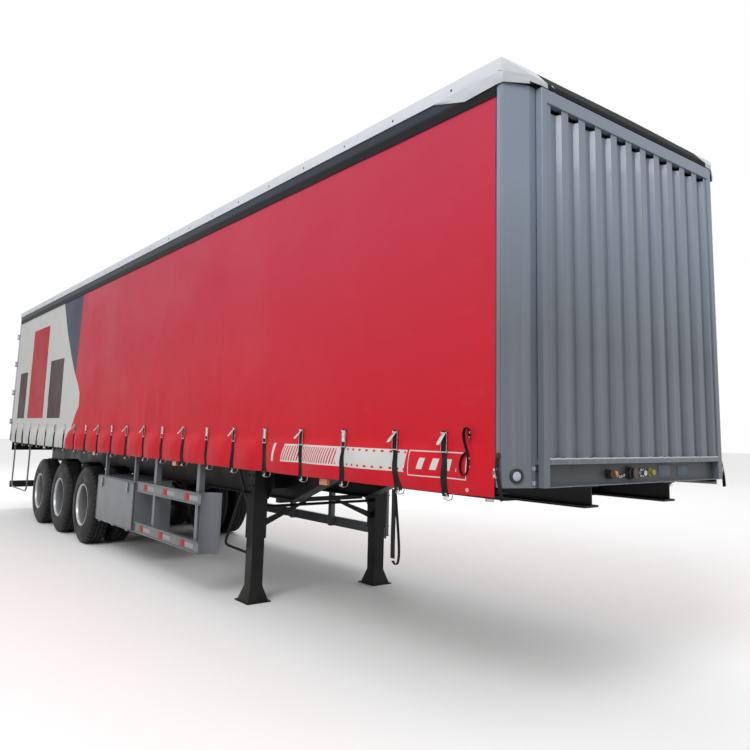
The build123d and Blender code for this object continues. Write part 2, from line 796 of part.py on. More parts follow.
def roof_form(inset, drop):
    """The roof cover's outer form, or its inner one with the walls inset and the foot lowered."""
    half = HALF + ROOF_OVERHANG - inset
    rear = REAR_FACE + inset
    nose = ROOF_NOSE - inset
    nose_break = ROOF_FRONT_BREAK - inset
    foot = ROOF_RAIL_TOP - drop
    nose_foot = POST_TOP + BOW_UNDER - drop
    edge = ROOF_EDGE - inset
    top = edge + 1.2 * ROOF_CROWN
    with BuildPart() as form:
        with BuildSketch(Plane.XZ):
            with BuildLine():
                Polyline(
                    (rear, foot),
                    (POST_SIDE_REAR, foot),
                    (POST_SIDE_REAR, nose_foot),
                    (nose, nose_foot),
                    (nose, ROOF_NOSE_TOP - inset),
                    (nose_break, top),
                    (rear, top),
                    close=True,
                )
            make_face()
        extrude(amount=half, both=True)
        with BuildSketch(Plane.YZ.offset(rear)):
            with BuildLine():
                Polyline((-half, edge), (-half, nose_foot), (half, nose_foot), (half, edge))
                ThreePointArc((half, edge), (0, edge + ROOF_CROWN), (-half, edge))
            make_face()
        extrude(amount=nose - rear, mode=Mode.INTERSECT)
        with BuildSketch(Plane.XY.offset(nose_foot)):
            with BuildLine():
                Polyline(
                    (rear, -half),
                    (nose_break, -half),
                    (nose, -ROOF_NOSE_HALF + inset),
                    (nose, ROOF_NOSE_HALF - inset),
                    (nose_break, half),
                    (rear, half),
                    close=True,
                )
            make_face()
        extrude(amount=top - nose_foot, mode=Mode.INTERSECT)
    return form.part


# Roof cover: a thin skin with side skirts and a nose that slopes down to the front frame
with BuildPart() as roof_tarp:
    add(roof_form(0, 0))
    add(roof_form(TARP, 2 * TARP), mode=Mode.SUBTRACT)
finish(roof_tarp, "roof_tarp")

# Side curtains, hung in the roof rails
for name, side in SIDES.items():
    with BuildPart() as curtain:
        with BuildSketch(Plane.XZ.offset(-side * (HALF - CURTAIN / 2))):
            with BuildLine():
                Polyline(
                    (REAR_FRONT, CURTAIN_BOTTOM),
                    (CURTAIN_FRONT, CURTAIN_BOTTOM),
                    (CURTAIN_FRONT, ROOF_RAIL_BOTTOM + CURTAIN_SLOT),
                    (REAR_FRONT, ROOF_RAIL_BOTTOM + CURTAIN_SLOT),
                    close=True,
                )
            make_face()
        extrude(amount=CURTAIN / 2, both=True)
    finish(curtain, f"curtain_{name}")

    # Tension straps with their buckles, hooked under the side rail
    strap_out = HALF + STRAP
    buckle_out = HALF + BUCKLE
    hook_tip = RAIL_OUT - HOOK_REACH + HOOK
    with BuildPart() as straps:
        for index in range(STRAP_COUNT):
            x = STRAP_SECOND - (index - 1) * STRAP_PITCH if index else STRAP_FIRST
            with BuildSketch(Plane.YZ.offset(x)):
                with BuildLine():
                    Polyline(
                        (side * HALF, BUCKLE_TOP),
                        (side * buckle_out, BUCKLE_TOP - BUCKLE),
                        (side * buckle_out, BUCKLE_BOTTOM + BUCKLE),
                        (side * strap_out, BUCKLE_BOTTOM),
                        (side * strap_out, HOOK_BOTTOM),
                        (side * (hook_tip - HOOK), HOOK_BOTTOM),
                        (side * (hook_tip - HOOK), RAIL_BOTTOM),
                        (side * hook_tip, RAIL_BOTTOM),
                        (side * hook_tip, HOOK_BOTTOM + HOOK),
                        (side * HALF, HOOK_BOTTOM + HOOK),
                        close=True,
                    )
                make_face()
            extrude(amount=STRAP_WIDTH / 2, both=True)
    finish(straps, f"straps_{name}")

# Landing legs: square outer tubes with a blind socket, bracketed to the beams
leg_socket_width = LEG_OUTER - 2 * LEG_WALL
leg_inner_face = LEG_Y - LEG_OUTER / 2
with BuildPart() as landing_legs:
    for side in SIDES.values():
        with BuildSketch(Plane.XY.offset(LEG_STEP)):
            with Locations((LEG_X, side * LEG_Y)):
                Rectangle(LEG_OUTER, LEG_OUTER)
        extrude(amount=BEAM_TOP - LEG_STEP)
        with BuildSketch(Plane.XY.offset(LEG_STEP)):
            with Locations((LEG_X, side * LEG_Y)):
                Rectangle(leg_socket_width, leg_socket_width)
        extrude(amount=LEG_SOCKET - LEG_STEP, mode=Mode.SUBTRACT)
        with BuildSketch(Plane.XZ.offset(-side * leg_inner_face)):
            with BuildLine():
                Polyline(
                    (LEG_X - LEG_OUTER / 2, LEG_PLATE_BOTTOM),
                    (LEG_X + LEG_OUTER / 2, LEG_PLATE_BOTTOM),
                    (LEG_X + LEG_PLATE_HALF, LEG_PLATE_STEP),
                    (LEG_X + LEG_PLATE_HALF, BEAM_TOP),
                    (LEG_X - LEG_PLATE_HALF, BEAM_TOP),
                    (LEG_X - LEG_PLATE_HALF, LEG_PLATE_STEP),
                    close=True,
                )
            make_face()
        extrude(amount=side * LEG_PLATE)
        with BuildSketch(Plane.XZ.offset(-side * leg_inner_face)):
            with Locations((LEG_X, LEG_BRACKET_BOTTOM)):
                Rectangle(
                    LEG_BRACKET,
                    LEG_BRACKET_TOP - LEG_BRACKET_BOTTOM,
                    align=(Align.CENTER, Align.MIN),
                )
        extrude(amount=side * (leg_inner_face - BEAM_Y - BEAM_WEB / 2))
finish(landing_legs, "landing_legs")

# Inner legs with flared feet
leg_inner_width = leg_socket_width - 2 * LEG_FIT
foot_taper = degrees(atan2(FOOT_FLARE, LEG_FOOT_TOP - FOOT_PLATE))
with BuildPart() as landing_feet:
    for side in SIDES.values():
        with BuildSketch(Plane.XY.offset(LEG_FOOT_TOP)):
            with Locations((LEG_X, side * LEG_Y)):
                Rectangle(leg_inner_width, leg_inner_width)
        extrude(amount=LEG_SOCKET - LEG_FOOT_TOP)
        with BuildSketch(Plane.XY.offset(FOOT_PLATE)):
            with Locations((LEG_X, side * LEG_Y)):
                Rectangle(leg_inner_width + 2 * FOOT_FLARE, leg_inner_width + 2 * FOOT_FLARE)
        extrude(amount=LEG_FOOT_TOP - FOOT_PLATE, taper=foot_taper)
        with BuildSketch(Plane.XY):
            with Locations((LEG_X, side * LEG_Y)):
                Rectangle(FOOT_LENGTH, FOOT_WIDTH)
        extrude(amount=FOOT_PLATE)
finish(landing_feet, "landing_feet")

# Braces of the landing legs: a tie under the beams, a V to each leg, stays to the rear
brace_cross = cross_start + cross_pitch * round((LEG_X - cross_pitch - cross_start) / cross_pitch)
leg_rear_face = LEG_X - LEG_OUTER / 2
tie_bottom = BEAM_BOTTOM - TIE_HEIGHT
with BuildPart() as landing_braces:
    with BuildSketch(Plane.XZ):
        with Locations((LEG_X, tie_bottom)):
            Rectangle(TIE_WIDTH, TIE_HEIGHT, align=(Align.CENTER, Align.MIN))
    extrude(amount=coupler_half, both=True)
    for side in SIDES.values():
        with BuildSketch(Plane.YZ.offset(LEG_X)):
            with BuildLine():
                Polyline(
                    (side * leg_inner_face, BRACE_LOW),
                    (side * leg_inner_face, BRACE_LOW + BRACE_DEPTH),
                    (side * (BRACE_DEPTH + 2 * TIE_WIDTH), tie_bottom),
                    (side * 2 * TIE_WIDTH, tie_bottom),
                    close=True,
                )
            make_face()
        extrude(amount=BRACE / 2, both=True)
        with BuildSketch(Plane.XZ.offset(-side * LEG_Y)):
            with BuildLine():
                Polyline(
                    (leg_rear_face, BRACE_LOW),
                    (leg_rear_face, BRACE_LOW + BRACE_DEPTH),
                    (brace_cross + CROSS_FLANGE, BEAM_TOP),
                    (brace_cross, BEAM_TOP),
                    close=True,
                )
            make_face()
        extrude(amount=BRACE / 2, both=True)
    with BuildSketch(Plane.XZ.offset(-leg_inner_face)):
        with Locations((LEG_X, SHAFT_Z)):
            RegularPolygon(SHAFT_RADIUS, TUBE_SIDES)
    extrude(amount=2 * leg_inner_face)
finish(landing_braces, "landing_braces")

# Crank on the right leg: a bent rod whose grip is tucked against the inner leg
leg_outer_face = -LEG_Y - LEG_OUTER / 2
crank_points = [
    (LEG_X - CRANK_BEHIND, leg_outer_face, CRANK_TOP),
    (LEG_X - CRANK_BEHIND, leg_outer_face - CRANK_OUT, CRANK_TOP),
    (LEG_X - CRANK_SWING, leg_outer_face - CRANK_OUT, CRANK_LOW),
    (LEG_X - leg_inner_width / 2 - CRANK_RADIUS, -LEG_Y - CRANK_GRIP_IN, CRANK_GRIP),
]
with BuildPart() as landing_crank:
    with BuildLine() as crank_path:
        FilletPolyline(*crank_points, radius=CRANK_BEND)
    with BuildSketch(Plane(origin=crank_path.line @ 0, z_dir=crank_path.line % 0)):
        RegularPolygon(CRANK_RADIUS, TUBE_SIDES)
    sweep()
finish(landing_crank, "landing_crank")

# Side guards: channel rails with a rolled end, on posts under the side rail
guard_back = GUARD_Y - GUARD_DEPTH
for name, side in SIDES.items():
    rail_rear = GUARD_REAR if name == "right" else BOX_REAR
    with BuildPart() as side_guard:
        for rail_bottom in (GUARD_BOTTOM, GUARD_TOP - GUARD_RAIL):
            rail_top = rail_bottom + GUARD_RAIL
            with BuildSketch(Plane.YZ.offset(rail_rear)):
                with BuildLine():
                    Polyline(
                        (side * guard_back, rail_bottom),
                        (side * (GUARD_Y - GUARD_STEP), rail_bottom),
                        (side * (GUARD_Y - GUARD_STEP), rail_bottom + GUARD_STEP),
                        (side * GUARD_Y, rail_bottom + 2 * GUARD_STEP),
                        (side * GUARD_Y, rail_top - 2 * GUARD_STEP),
                        (side * (GUARD_Y - GUARD_STEP), rail_top - GUARD_STEP),
                        (side * (GUARD_Y - GUARD_STEP), rail_top),
                        (side * guard_back, rail_top),
                        close=True,
                    )
                make_face()
            extrude(amount=GUARD_FRONT - rail_rear)
        with BuildSketch(Plane.XY.offset(GUARD_BOTTOM)):
            with BuildLine():
                outer_arc = RadiusArc(
                    (GUARD_FRONT, side * GUARD_Y),
                    (GUARD_FRONT + GUARD_NOSE, side * (GUARD_Y - GUARD_NOSE)),
                    -side * GUARD_NOSE,
                )
                inner_arc = RadiusArc(
                    (GUARD_FRONT, side * (GUARD_Y - GUARD_SHEET)),
                    (GUARD_FRONT + GUARD_NOSE - GUARD_SHEET, side * (GUARD_Y - GUARD_NOSE)),
                    -side * (GUARD_NOSE - GUARD_SHEET),
                )
                Line(outer_arc @ 0, inner_arc @ 0)
                Line(outer_arc @ 1, inner_arc @ 1)
            make_face()
        extrude(amount=GUARD_NOSE_TOP - GUARD_BOTTOM)
        for behind in GUARD_POSTS[name]:
            with BuildSketch(Plane.XY.offset(GUARD_BOTTOM)):
                with Locations((GUARD_FRONT - behind, side * (guard_back - GUARD_POST_DEPTH / 2))):
                    Rectangle(GUARD_POST_WIDTH, GUARD_POST_DEPTH)
            extrude(amount=RAIL_BOTTOM - GUARD_BOTTOM)
    finish(side_guard, f"side_guard_{name}")

# Toolbox: an open-fronted steel box on two hangers, with the fixed hinge lugs
lid_inner = -GUARD_Y - LID_GAP
lid_axis_y = lid_inner - LID / 2
lid_axis_z = BOX_BOTTOM
lid_hinges = (BOX_REAR + LID_HINGE_IN, (BOX_REAR + BOX_FRONT) / 2, BOX_FRONT - LID_HINGE_IN)
with BuildPart() as toolbox:
    with BuildSketch(Plane.XZ.offset(GUARD_Y)):
        with Locations((BOX_REAR, BOX_BOTTOM)):
            Rectangle(
                BOX_FRONT - BOX_REAR,
                BOX_TOP - BOX_BOTTOM,
                align=(Align.MIN, Align.MIN),
            )
    extrude(amount=-BOX_DEPTH)
    with BuildSketch(Plane.XZ.offset(GUARD_Y)):
        with Locations((BOX_REAR + BOX_WALL, BOX_BOTTOM + BOX_WALL)):
            Rectangle(
                BOX_FRONT - BOX_REAR - 2 * BOX_WALL,
                BOX_TOP - BOX_BOTTOM - 2 * BOX_WALL,
                align=(Align.MIN, Align.MIN),
            )
    extrude(amount=-BOX_DEPTH + BOX_WALL, mode=Mode.SUBTRACT)
    for x in (BOX_REAR + BOX_HANGER_IN, BOX_FRONT - BOX_HANGER_IN):
        with BuildSketch(Plane.XY.offset(BOX_TOP)):
            with Locations((x, -guard_back)):
                Rectangle(BOX_HANGER, BOX_HANGER, align=(Align.CENTER, Align.MIN))
        extrude(amount=RAIL_BOTTOM - BOX_TOP)
    for x in lid_hinges:
        lug_start = LID_EYE / 2 + HINGE_SLACK
        for low in (x - lug_start - LID_LUG, x + lug_start):
            with BuildSketch(Plane.YZ.offset(low)):
                with Locations((lid_axis_y, lid_axis_z)):
                    RegularPolygon(LID_EYE_RADIUS, PIN_SIDES)
                with BuildLine():
                    Polyline(
                        (lid_axis_y, lid_axis_z - LID_EYE_RADIUS),
                        (-GUARD_Y + 3 * BOX_WALL, lid_axis_z - LID_EYE_RADIUS),
                        (-GUARD_Y + 3 * BOX_WALL, lid_axis_z),
                        (lid_axis_y, lid_axis_z),
                        close=True,
                    )
                make_face()
            extrude(amount=LID_LUG)
        with BuildSketch(Plane.YZ.offset(x - lug_start)):
            with Locations((lid_axis_y, lid_axis_z)):
                RegularPolygon(LID_PIN_RADIUS, PIN_SIDES)
        extrude(amount=2 * lug_start)
finish(toolbox, "toolbox")

# Toolbox lid, hinged along its lower edge, with two latch handles
lid_bottom = lid_axis_z + LID_EYE_RADIUS + LID_GAP
with BuildPart() as toolbox_lid:
    with BuildSketch(Plane.XZ.offset(-lid_inner)):
        with Locations((BOX_REAR + LID_EDGE, lid_bottom)):
            Rectangle(
                BOX_FRONT - BOX_REAR - 2 * LID_EDGE,
                BOX_TOP - LID_EDGE - lid_bottom,
                align=(Align.MIN, Align.MIN),
            )
    extrude(amount=LID)
    for x in lid_hinges:
        with BuildSketch(Plane.YZ.offset(x - LID_EYE / 2)):
            with Locations((lid_axis_y, lid_axis_z)):
                RegularPolygon(LID_EYE_RADIUS, PIN_SIDES)
            with BuildLine():
                Polyline(
                    (lid_inner - LID, lid_axis_z),
                    (lid_inner - LID / 2, lid_axis_z),
                    (lid_inner - LID / 2, lid_bottom),
                    (lid_inner - LID, lid_bottom),
                    close=True,
                )
            make_face()
            with Locations((lid_axis_y, lid_axis_z)):
                RegularPolygon(
                    LID_PIN_RADIUS + HINGE_FIT, PIN_SIDES, major_radius=False, mode=Mode.SUBTRACT
                )
        extrude(amount=LID_EYE)
    for x in (BOX_REAR + LID_LATCH_IN, BOX_FRONT - LID_LATCH_IN):
        with BuildSketch(Plane.XZ.offset(-lid_inner + LID)):
            with Locations((x, BOX_TOP - 2 * LID_EDGE)):
                Rectangle(4 * LID_EDGE, 10 * LID_EDGE, align=(Align.CENTER, Align.MAX))
        extrude(amount=LID)
finish(toolbox_lid, "toolbox_lid")

# Axles: tubes with turned spindles, spring seats and brake chambers
disc_middle = TYRE_OUT - (TYRE_WIDTH + TWIN_PITCH) / 2
drum_start = disc_middle - DRUM_LENGTH
axle_end = drum_start - AXLE_GAP
spindle_end = disc_middle + SPINDLE_REACH
with BuildPart() as axles:
    for index in range(AXLE_COUNT):
        x = AXLE_FIRST - index * AXLE_PITCH
        for radius, half in ((AXLE_RADIUS, axle_end), (SPINDLE_RADIUS, spindle_end)):
            with BuildSketch(Plane.XZ):
                with Locations((x, TYRE_RADIUS)):
                    RegularPolygon(radius, SHAFT_SIDES)
            extrude(amount=half, both=True)
        for side in SIDES.values():
            with BuildSketch(Plane.XY.offset(TYRE_RADIUS)):
                with Locations((x, side * BEAM_Y)):
                    Rectangle(2 * AXLE_RADIUS, SPRING_WIDTH)
            extrude(amount=SPRING_SEAT - TYRE_RADIUS)
            with BuildSketch(Plane.YZ.offset(x)):
                with Locations((side * CHAMBER_Y, TYRE_RADIUS)):
                    Rectangle(CHAMBER_RADIUS, CHAMBER_RADIUS)
            extrude(amount=CHAMBER_REACH)
            with BuildSketch(Plane.YZ.offset(x + CHAMBER_REACH)):
                with Locations((side * CHAMBER_Y, TYRE_RADIUS)):
                    RegularPolygon(CHAMBER_RADIUS, PIN_SIDES)
            extrude(amount=CHAMBER_LENGTH)
finish(axles, "axles")

# Leaf springs on the axle seats
with BuildPart() as springs:
    for index in range(AXLE_COUNT):
        x = AXLE_FIRST - index * AXLE_PITCH
        end_low = SPRING_SEAT + SPRING_RISE
        end_high = end_low + SPRING_END
        for side in SIDES.values():
            with BuildSketch(Plane.XZ.offset(-side * BEAM_Y)):
                with BuildLine():
                    ThreePointArc(
                        (x - SPRING_REACH, end_low), (x, SPRING_SEAT), (x + SPRING_REACH, end_low)
                    )
                    Line((x + SPRING_REACH, end_low), (x + SPRING_REACH, end_high))
                    ThreePointArc(
                        (x + SPRING_REACH, end_high),
                        (x, SPRING_SEAT + SPRING_MID),
                        (x - SPRING_REACH, end_high),
                    )
                    Line((x - SPRING_REACH, end_high), (x - SPRING_REACH, end_low))
                make_face()
            extrude(amount=SPRING_WIDTH / 2, both=True)
finish(springs, "springs")

# Spring hangers with rockers between the axles, welded under the beams
rocker_bottom = SPRING_SEAT + SPRING_RISE + SPRING_END
with BuildPart() as spring_hangers:
    for index in range(AXLE_COUNT + 1):
        x = AXLE_FIRST - (index - 0.5) * AXLE_PITCH
        for side in SIDES.values():
            with BuildSketch(Plane.XZ.offset(-side * BEAM_Y)):
                with BuildLine():
                    Polyline(
                        (x - ROCKER_LENGTH / 2, rocker_bottom),
                        (x + ROCKER_LENGTH / 2, rocker_bottom),
                        (x + ROCKER_LENGTH / 2, rocker_bottom + ROCKER_HEIGHT / 2),
                        (x + HANGER_LENGTH / 2, rocker_bottom + ROCKER_HEIGHT),
                        (x + HANGER_LENGTH, BEAM_BOTTOM),
                        (x - HANGER_LENGTH, BEAM_BOTTOM),
                        (x - HANGER_LENGTH / 2, rocker_bottom + ROCKER_HEIGHT),
                        (x - ROCKER_LENGTH / 2, rocker_bottom + ROCKER_HEIGHT / 2),
                        close=True,
                    )
                make_face()
            extrude(amount=HANGER_WIDTH / 2, both=True)
finish(spring_hangers, "spring_hangers")

# Rear underride bar on two slanted brackets
with BuildPart() as rear_bumper:
    with BuildSketch(Plane.XZ):
        with Locations((BUMPER_REAR, BUMPER_BOTTOM)):
            Rectangle(BUMPER_DEPTH, BUMPER_HEIGHT, align=(Align.MIN, Align.MIN))
    extrude(amount=BUMPER_HALF, both=True)
    bumper_top = BUMPER_BOTTOM + BUMPER_HEIGHT
    for side in SIDES.values():
        with BuildSketch(Plane.XZ.offset(-side * BEAM_Y)):
            with BuildLine():
                Polyline(
                    (BUMPER_REAR, bumper_top),
                    (BUMPER_REAR + BUMPER_DEPTH, bumper_top),
                    (beam_rear + 2 * BUMPER_DEPTH, BEAM_BOTTOM),
                    (beam_rear, BEAM_BOTTOM),
                    close=True,
                )
            make_face()
        extrude(amount=BUMPER_BRACKET / 2, both=True)
finish(rear_bumper, "rear_bumper")

# Bent guard tubes behind the last wheels, hung from the side rails
with BuildPart() as guard_tubes:
    for side in SIDES.values():
        with BuildLine() as tube_path:
            FilletPolyline(
                (TUBE_REAR, side * TUBE_Y, RAIL_BOTTOM),
                (TUBE_REAR, side * TUBE_Y, TUBE_BOTTOM),
                (TUBE_FRONT, side * TUBE_Y, TUBE_BOTTOM),
                (TUBE_FRONT, side * TUBE_Y, RAIL_BOTTOM),
                radius=TUBE_BEND,
            )
        with BuildSketch(Plane(origin=tube_path.line @ 0, z_dir=tube_path.line % 0)):
            RegularPolygon(TUBE_RADIUS, TUBE_SIDES)
        sweep(path=tube_path.line)
finish(guard_tubes, "guard_tubes")

# Air tank across the chassis, hung from a cross member
tank_x = cross_start + TANK_CROSS * cross_pitch + CROSS_FLANGE / 2
with BuildPart() as air_tank:
    with BuildSketch(Plane.XZ.offset(-TANK_HALF)):
        with Locations((tank_x, TANK_Z)):
            RegularPolygon(TANK_RADIUS, SHAFT_SIDES)
    extrude(amount=2 * TANK_HALF)
    for side in SIDES.values():
        with BuildSketch(Plane.XY.offset(TANK_Z)):
            with Locations((tank_x, side * TANK_HALF / 2)):
                Rectangle(CROSS_FLANGE, CROSS_FLANGE)
        extrude(amount=BEAM_TOP - TANK_Z)
finish(air_tank, "air_tank")

# Side marker lamps on small brackets under the side rails
with BuildPart() as marker_lamps:
    for side in SIDES.values():
        for behind in MARKERS:
            x = FRONT - behind
            with BuildSketch(Plane.XZ.offset(-side * MARKER_OUT)):
                with Locations((x, MARKER_BOTTOM)):
                    Rectangle(
                        MARKER_WIDTH,
                        MARKER_TOP - MARKER_BOTTOM,
                        align=(Align.CENTER, Align.MIN),
                    )
            extrude(amount=side * MARKER_DEPTH)
            with BuildSketch(Plane.XZ.offset(-side * (MARKER_OUT - MARKER_DEPTH + RAIL_WALL))):
                with Locations((x, MARKER_BOTTOM)):
                    Rectangle(
                        MARKER_WIDTH / 2,
                        RAIL_BOTTOM - MARKER_BOTTOM,
                        align=(Align.CENTER, Align.MIN),
                    )
            extrude(amount=side * RAIL_WALL)
finish(marker_lamps, "marker_lamps")

# Wheel stations, a twin pair each
bead_radius = RIM_RADIUS + BEAD_FIT
barrel_in = TYRE_OUT - TWIN_PITCH - TYRE_WIDTH + RIM_EDGE
barrel_out = TYRE_OUT - RIM_EDGE
hub_end = disc_middle + HUB_LENGTH
cap_end = hub_end + CAP_LENGTH


def turned(x, side, profile, sides=WHEEL_SIDES):
    """A many-sided turned form on an axle; the profile's columns are the distance out, the radius."""
    with BuildPart() as form:
        for (start, radius), (end, end_radius) in zip(profile, profile[1:]):
            section = Plane(origin=(x, side * start, TYRE_RADIUS), x_dir=(1, 0, 0), z_dir=(0, side, 0))
            with BuildSketch(section):
                RegularPolygon(radius, sides, major_radius=False, rotation=180 / sides)
            extrude(amount=end - start, taper=degrees(atan2(radius - end_radius, end - start)))
    return form.part


for name, side in SIDES.items():
    for index in range(AXLE_COUNT):
        x = AXLE_FIRST - index * AXLE_PITCH
        station = f"{name}_{index + 1}"

        # Twin tyres
        with BuildPart() as tyres:
            for inner in (TYRE_OUT - TYRE_WIDTH, TYRE_OUT - TYRE_WIDTH - TWIN_PITCH):
                add(turned(x, side, [(inner + step, radius) for step, radius in TYRE_SHAPE]))
                bore = [(inner, bead_radius), (inner + TYRE_WIDTH, bead_radius)]
                add(turned(x, side, bore), mode=Mode.SUBTRACT)
        finish(tyres, f"tyres_{station}")

        # Rim pair with its discs, hub and brake drum in one turned piece
        dishes = (
            [(barrel_in, RIM_BORE), (disc_middle - DISC / 2, RIM_BORE)],
            [(disc_middle + DISC / 2, RIM_BORE), (barrel_out, RIM_BORE)],
        )
        hub = [(disc_middle, HUB_RADIUS), (hub_end, CAP_RADIUS), (cap_end, CAP_RADIUS)]
        with BuildPart() as rims:
            add(turned(x, side, [(barrel_in, RIM_RADIUS), (barrel_out, RIM_RADIUS)]))
            for dish in dishes:
                add(turned(x, side, dish, SHAFT_SIDES), mode=Mode.SUBTRACT)
            add(turned(x, side, hub, SHAFT_SIDES))
            add(turned(x, side, [(drum_start, DRUM_RADIUS), (disc_middle, DRUM_RADIUS)], SHAFT_SIDES))
            with BuildSketch(Plane.XZ.offset(-side * drum_start)):
                with Locations((x, TYRE_RADIUS)):
                    Circle(SPINDLE_RADIUS + HUB_FIT)
            extrude(amount=-side * (spindle_end + SPINDLE_SLACK - drum_start), mode=Mode.SUBTRACT)
        finish(rims, f"rims_{station}")
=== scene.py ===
import math

import bmesh
import bpy
from mathutils import Matrix, Vector, noise


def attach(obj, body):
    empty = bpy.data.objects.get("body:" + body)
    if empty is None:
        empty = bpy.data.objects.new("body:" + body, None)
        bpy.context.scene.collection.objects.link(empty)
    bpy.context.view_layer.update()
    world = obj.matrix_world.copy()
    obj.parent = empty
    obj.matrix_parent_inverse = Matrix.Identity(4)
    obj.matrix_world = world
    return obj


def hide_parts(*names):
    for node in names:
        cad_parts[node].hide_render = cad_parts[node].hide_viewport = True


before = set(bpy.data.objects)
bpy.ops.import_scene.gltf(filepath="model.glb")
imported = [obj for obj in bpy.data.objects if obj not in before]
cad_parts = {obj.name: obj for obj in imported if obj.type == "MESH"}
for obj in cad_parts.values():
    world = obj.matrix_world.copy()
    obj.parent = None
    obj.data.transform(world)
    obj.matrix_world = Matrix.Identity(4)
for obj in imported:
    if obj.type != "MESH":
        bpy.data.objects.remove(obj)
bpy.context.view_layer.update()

bpy.ops.object.select_all(action="DESELECT")

# The place the trailer stands in: a pale floor under an even white surround, one large soft lamp
# high over the front right corner and a weaker one behind. The camera is at a person's height
# near that corner, looking slightly up, with the lens of a phone.
def assign(thing, **values):
    """Sets several attributes of a thing."""
    for name, value in values.items():
        setattr(thing, name, value)
    return thing


scene = bpy.context.scene
scene.view_settings.view_transform = "Standard"
camera_turn, camera_tilt, camera_roll = (math.radians(angle) for angle in (50.95, 8.0, 1.2))
bpy.ops.object.camera_add(location=(9.418, -4.202, 1.673))
camera = bpy.context.object
level = Matrix.Rotation(camera_turn, 3, "Z") @ Matrix.Rotation(math.pi / 2 + camera_tilt, 3, "X")
camera.rotation_euler = (level @ Matrix.Rotation(camera_roll, 3, "Z")).to_euler()
assign(camera.data, lens=33.76, shift_x=-0.036, shift_y=-0.056, clip_end=400)
scene.camera = camera


class Tone:
    """A shader socket. Sums on it add Math nodes to its tree, and make() adds any other node."""

    def __init__(self, tree, socket=None):
        self.tree = tree
        self.socket = socket

    def make(self, kind, settings=None, inputs=None, output=0):
        node = self.tree.nodes.new("ShaderNode" + kind)
        for name, value in (settings or {}).items():
            if name == "stops":
                ramp = node.color_ramp.elements
                for step, (place, colour) in enumerate(value):
                    stop = ramp[step] if step < 2 else ramp.new(place)
                    stop.position = place
                    stop.color = (*colour, 1)
            else:
                setattr(node, name, value)
        for name, value in (inputs or {}).items():
            if isinstance(value, Tone):
                self.tree.links.new(value.socket, node.inputs[name])
            elif hasattr(value, "__len__") and node.inputs[name].type == "RGBA":
                node.inputs[name].default_value = (*value, 1)
            else:
                node.inputs[name].default_value = value
        return Tone(self.tree, node.outputs[output] if node.outputs else None)

    def math(self, operation, first, second=0.0):
        return self.make("Math", {"operation": operation}, {0: first, 1: second})

    def __add__(self, other):
        return self.math("ADD", self, other)

    __radd__ = __add__

    def __mul__(self, other):
        return self.math("MULTIPLY", self, other)

    __rmul__ = __mul__

    def __sub__(self, other):
        return self.math("SUBTRACT", self, other)

    def __rsub__(self, other):
        return self.math("SUBTRACT", other, self)

    def __truediv__(self, other):
        return self.math("DIVIDE", self, other)

    def __mod__(self, other):
        return self.math("FLOORED_MODULO", self, other)

    def __gt__(self, other):
        return self.math("GREATER_THAN", self, other)

    def __lt__(self, other):
        return self.math("LESS_THAN", self, other)

    def absolute(self):
        return self.math("ABSOLUTE", self)

    def sine(self):
        return self.math("SINE", self)

    def within(self, low, high):
        """1 where this value lies between two limits, else 0."""
        return (self > low) * (self < high)

    def ramp(self, low, high, start=0.0, end=1.0):
        """This value spread evenly from low..high to start..end, and held there."""
        return self.make("MapRange", {}, {0: self, 1: low, 2: high, 3: start, 4: end})

    def mix(self, first, second):
        """The first colour where this value is 0, the second where it is 1."""
        return self.make("Mix", {"data_type": "RGBA"}, {0: self, 6: first, 7: second}, 2)

    def noise(self, scale, detail=4.0):
        """Cloudy grain on these coordinates, about 0 to 1."""
        grain = {"Vector": self, "Scale": scale, "Detail": detail, "Roughness": 0.55}
        return self.make("TexNoise", {}, grain)

    def stretched(self, x, y, z):
        """These coordinates multiplied along each axis."""
        return self.make("Mapping", {"vector_type": "POINT"}, {"Vector": self, "Scale": (x, y, z)})

    def axes(self):
        """The three numbers of these coordinates."""
        return [self.make("SeparateXYZ", {}, {0: self}, axis) for axis in range(3)]

    def bump(self, height, distance=0.001):
        """A surface normal from this height field."""
        return self.make("Bump", {}, {"Strength": height, "Distance": distance, "Height": self})


def begin_finish(name):
    """A new material and the Object coordinates that its pattern reads."""
    material = bpy.data.materials.new(name)
    material.use_nodes = True
    material.node_tree.nodes.clear()
    return material, Tone(material.node_tree).make("TexCoord", {}, {}, 3)


def end_finish(at, colour, roughness, normal=None, metallic=0.0, **more):
    """Closes a material with one principled shader; more holds plain sockets, spaces as underlines."""
    inputs = {"Base Color": colour, "Roughness": roughness, "Metallic": metallic}
    if normal is not None:
        inputs["Normal"] = normal
    inputs.update({name.replace("_", " "): value for name, value in more.items()})
    at.make("OutputMaterial", {}, {"Surface": at.make("BsdfPrincipled", {}, inputs)})


camera_ray, glossy_ray = 0, 3  # outputs of the Light Path node
surround = bpy.data.worlds.new("surround")
scene.world = surround
surround.use_nodes = True
surround.node_tree.nodes.clear()
sky = Tone(surround.node_tree)
overhead = sky.make("TexCoord", {}, {}, 0).axes()[2].ramp(-0.1, 0.7, 0.40, 0.96)
seen = sky.make("LightPath", {}, {}, camera_ray)
shown = seen.math("MAXIMUM", seen, sky.make("LightPath", {}, {}, glossy_ray) * 0.85)
glow = overhead + shown * (1.0 - overhead)
lit = sky.make("Background", {}, {"Color": (1.0, 1.0, 1.0), "Strength": glow})
sky.make("OutputWorld", {}, {"Surface": lit})

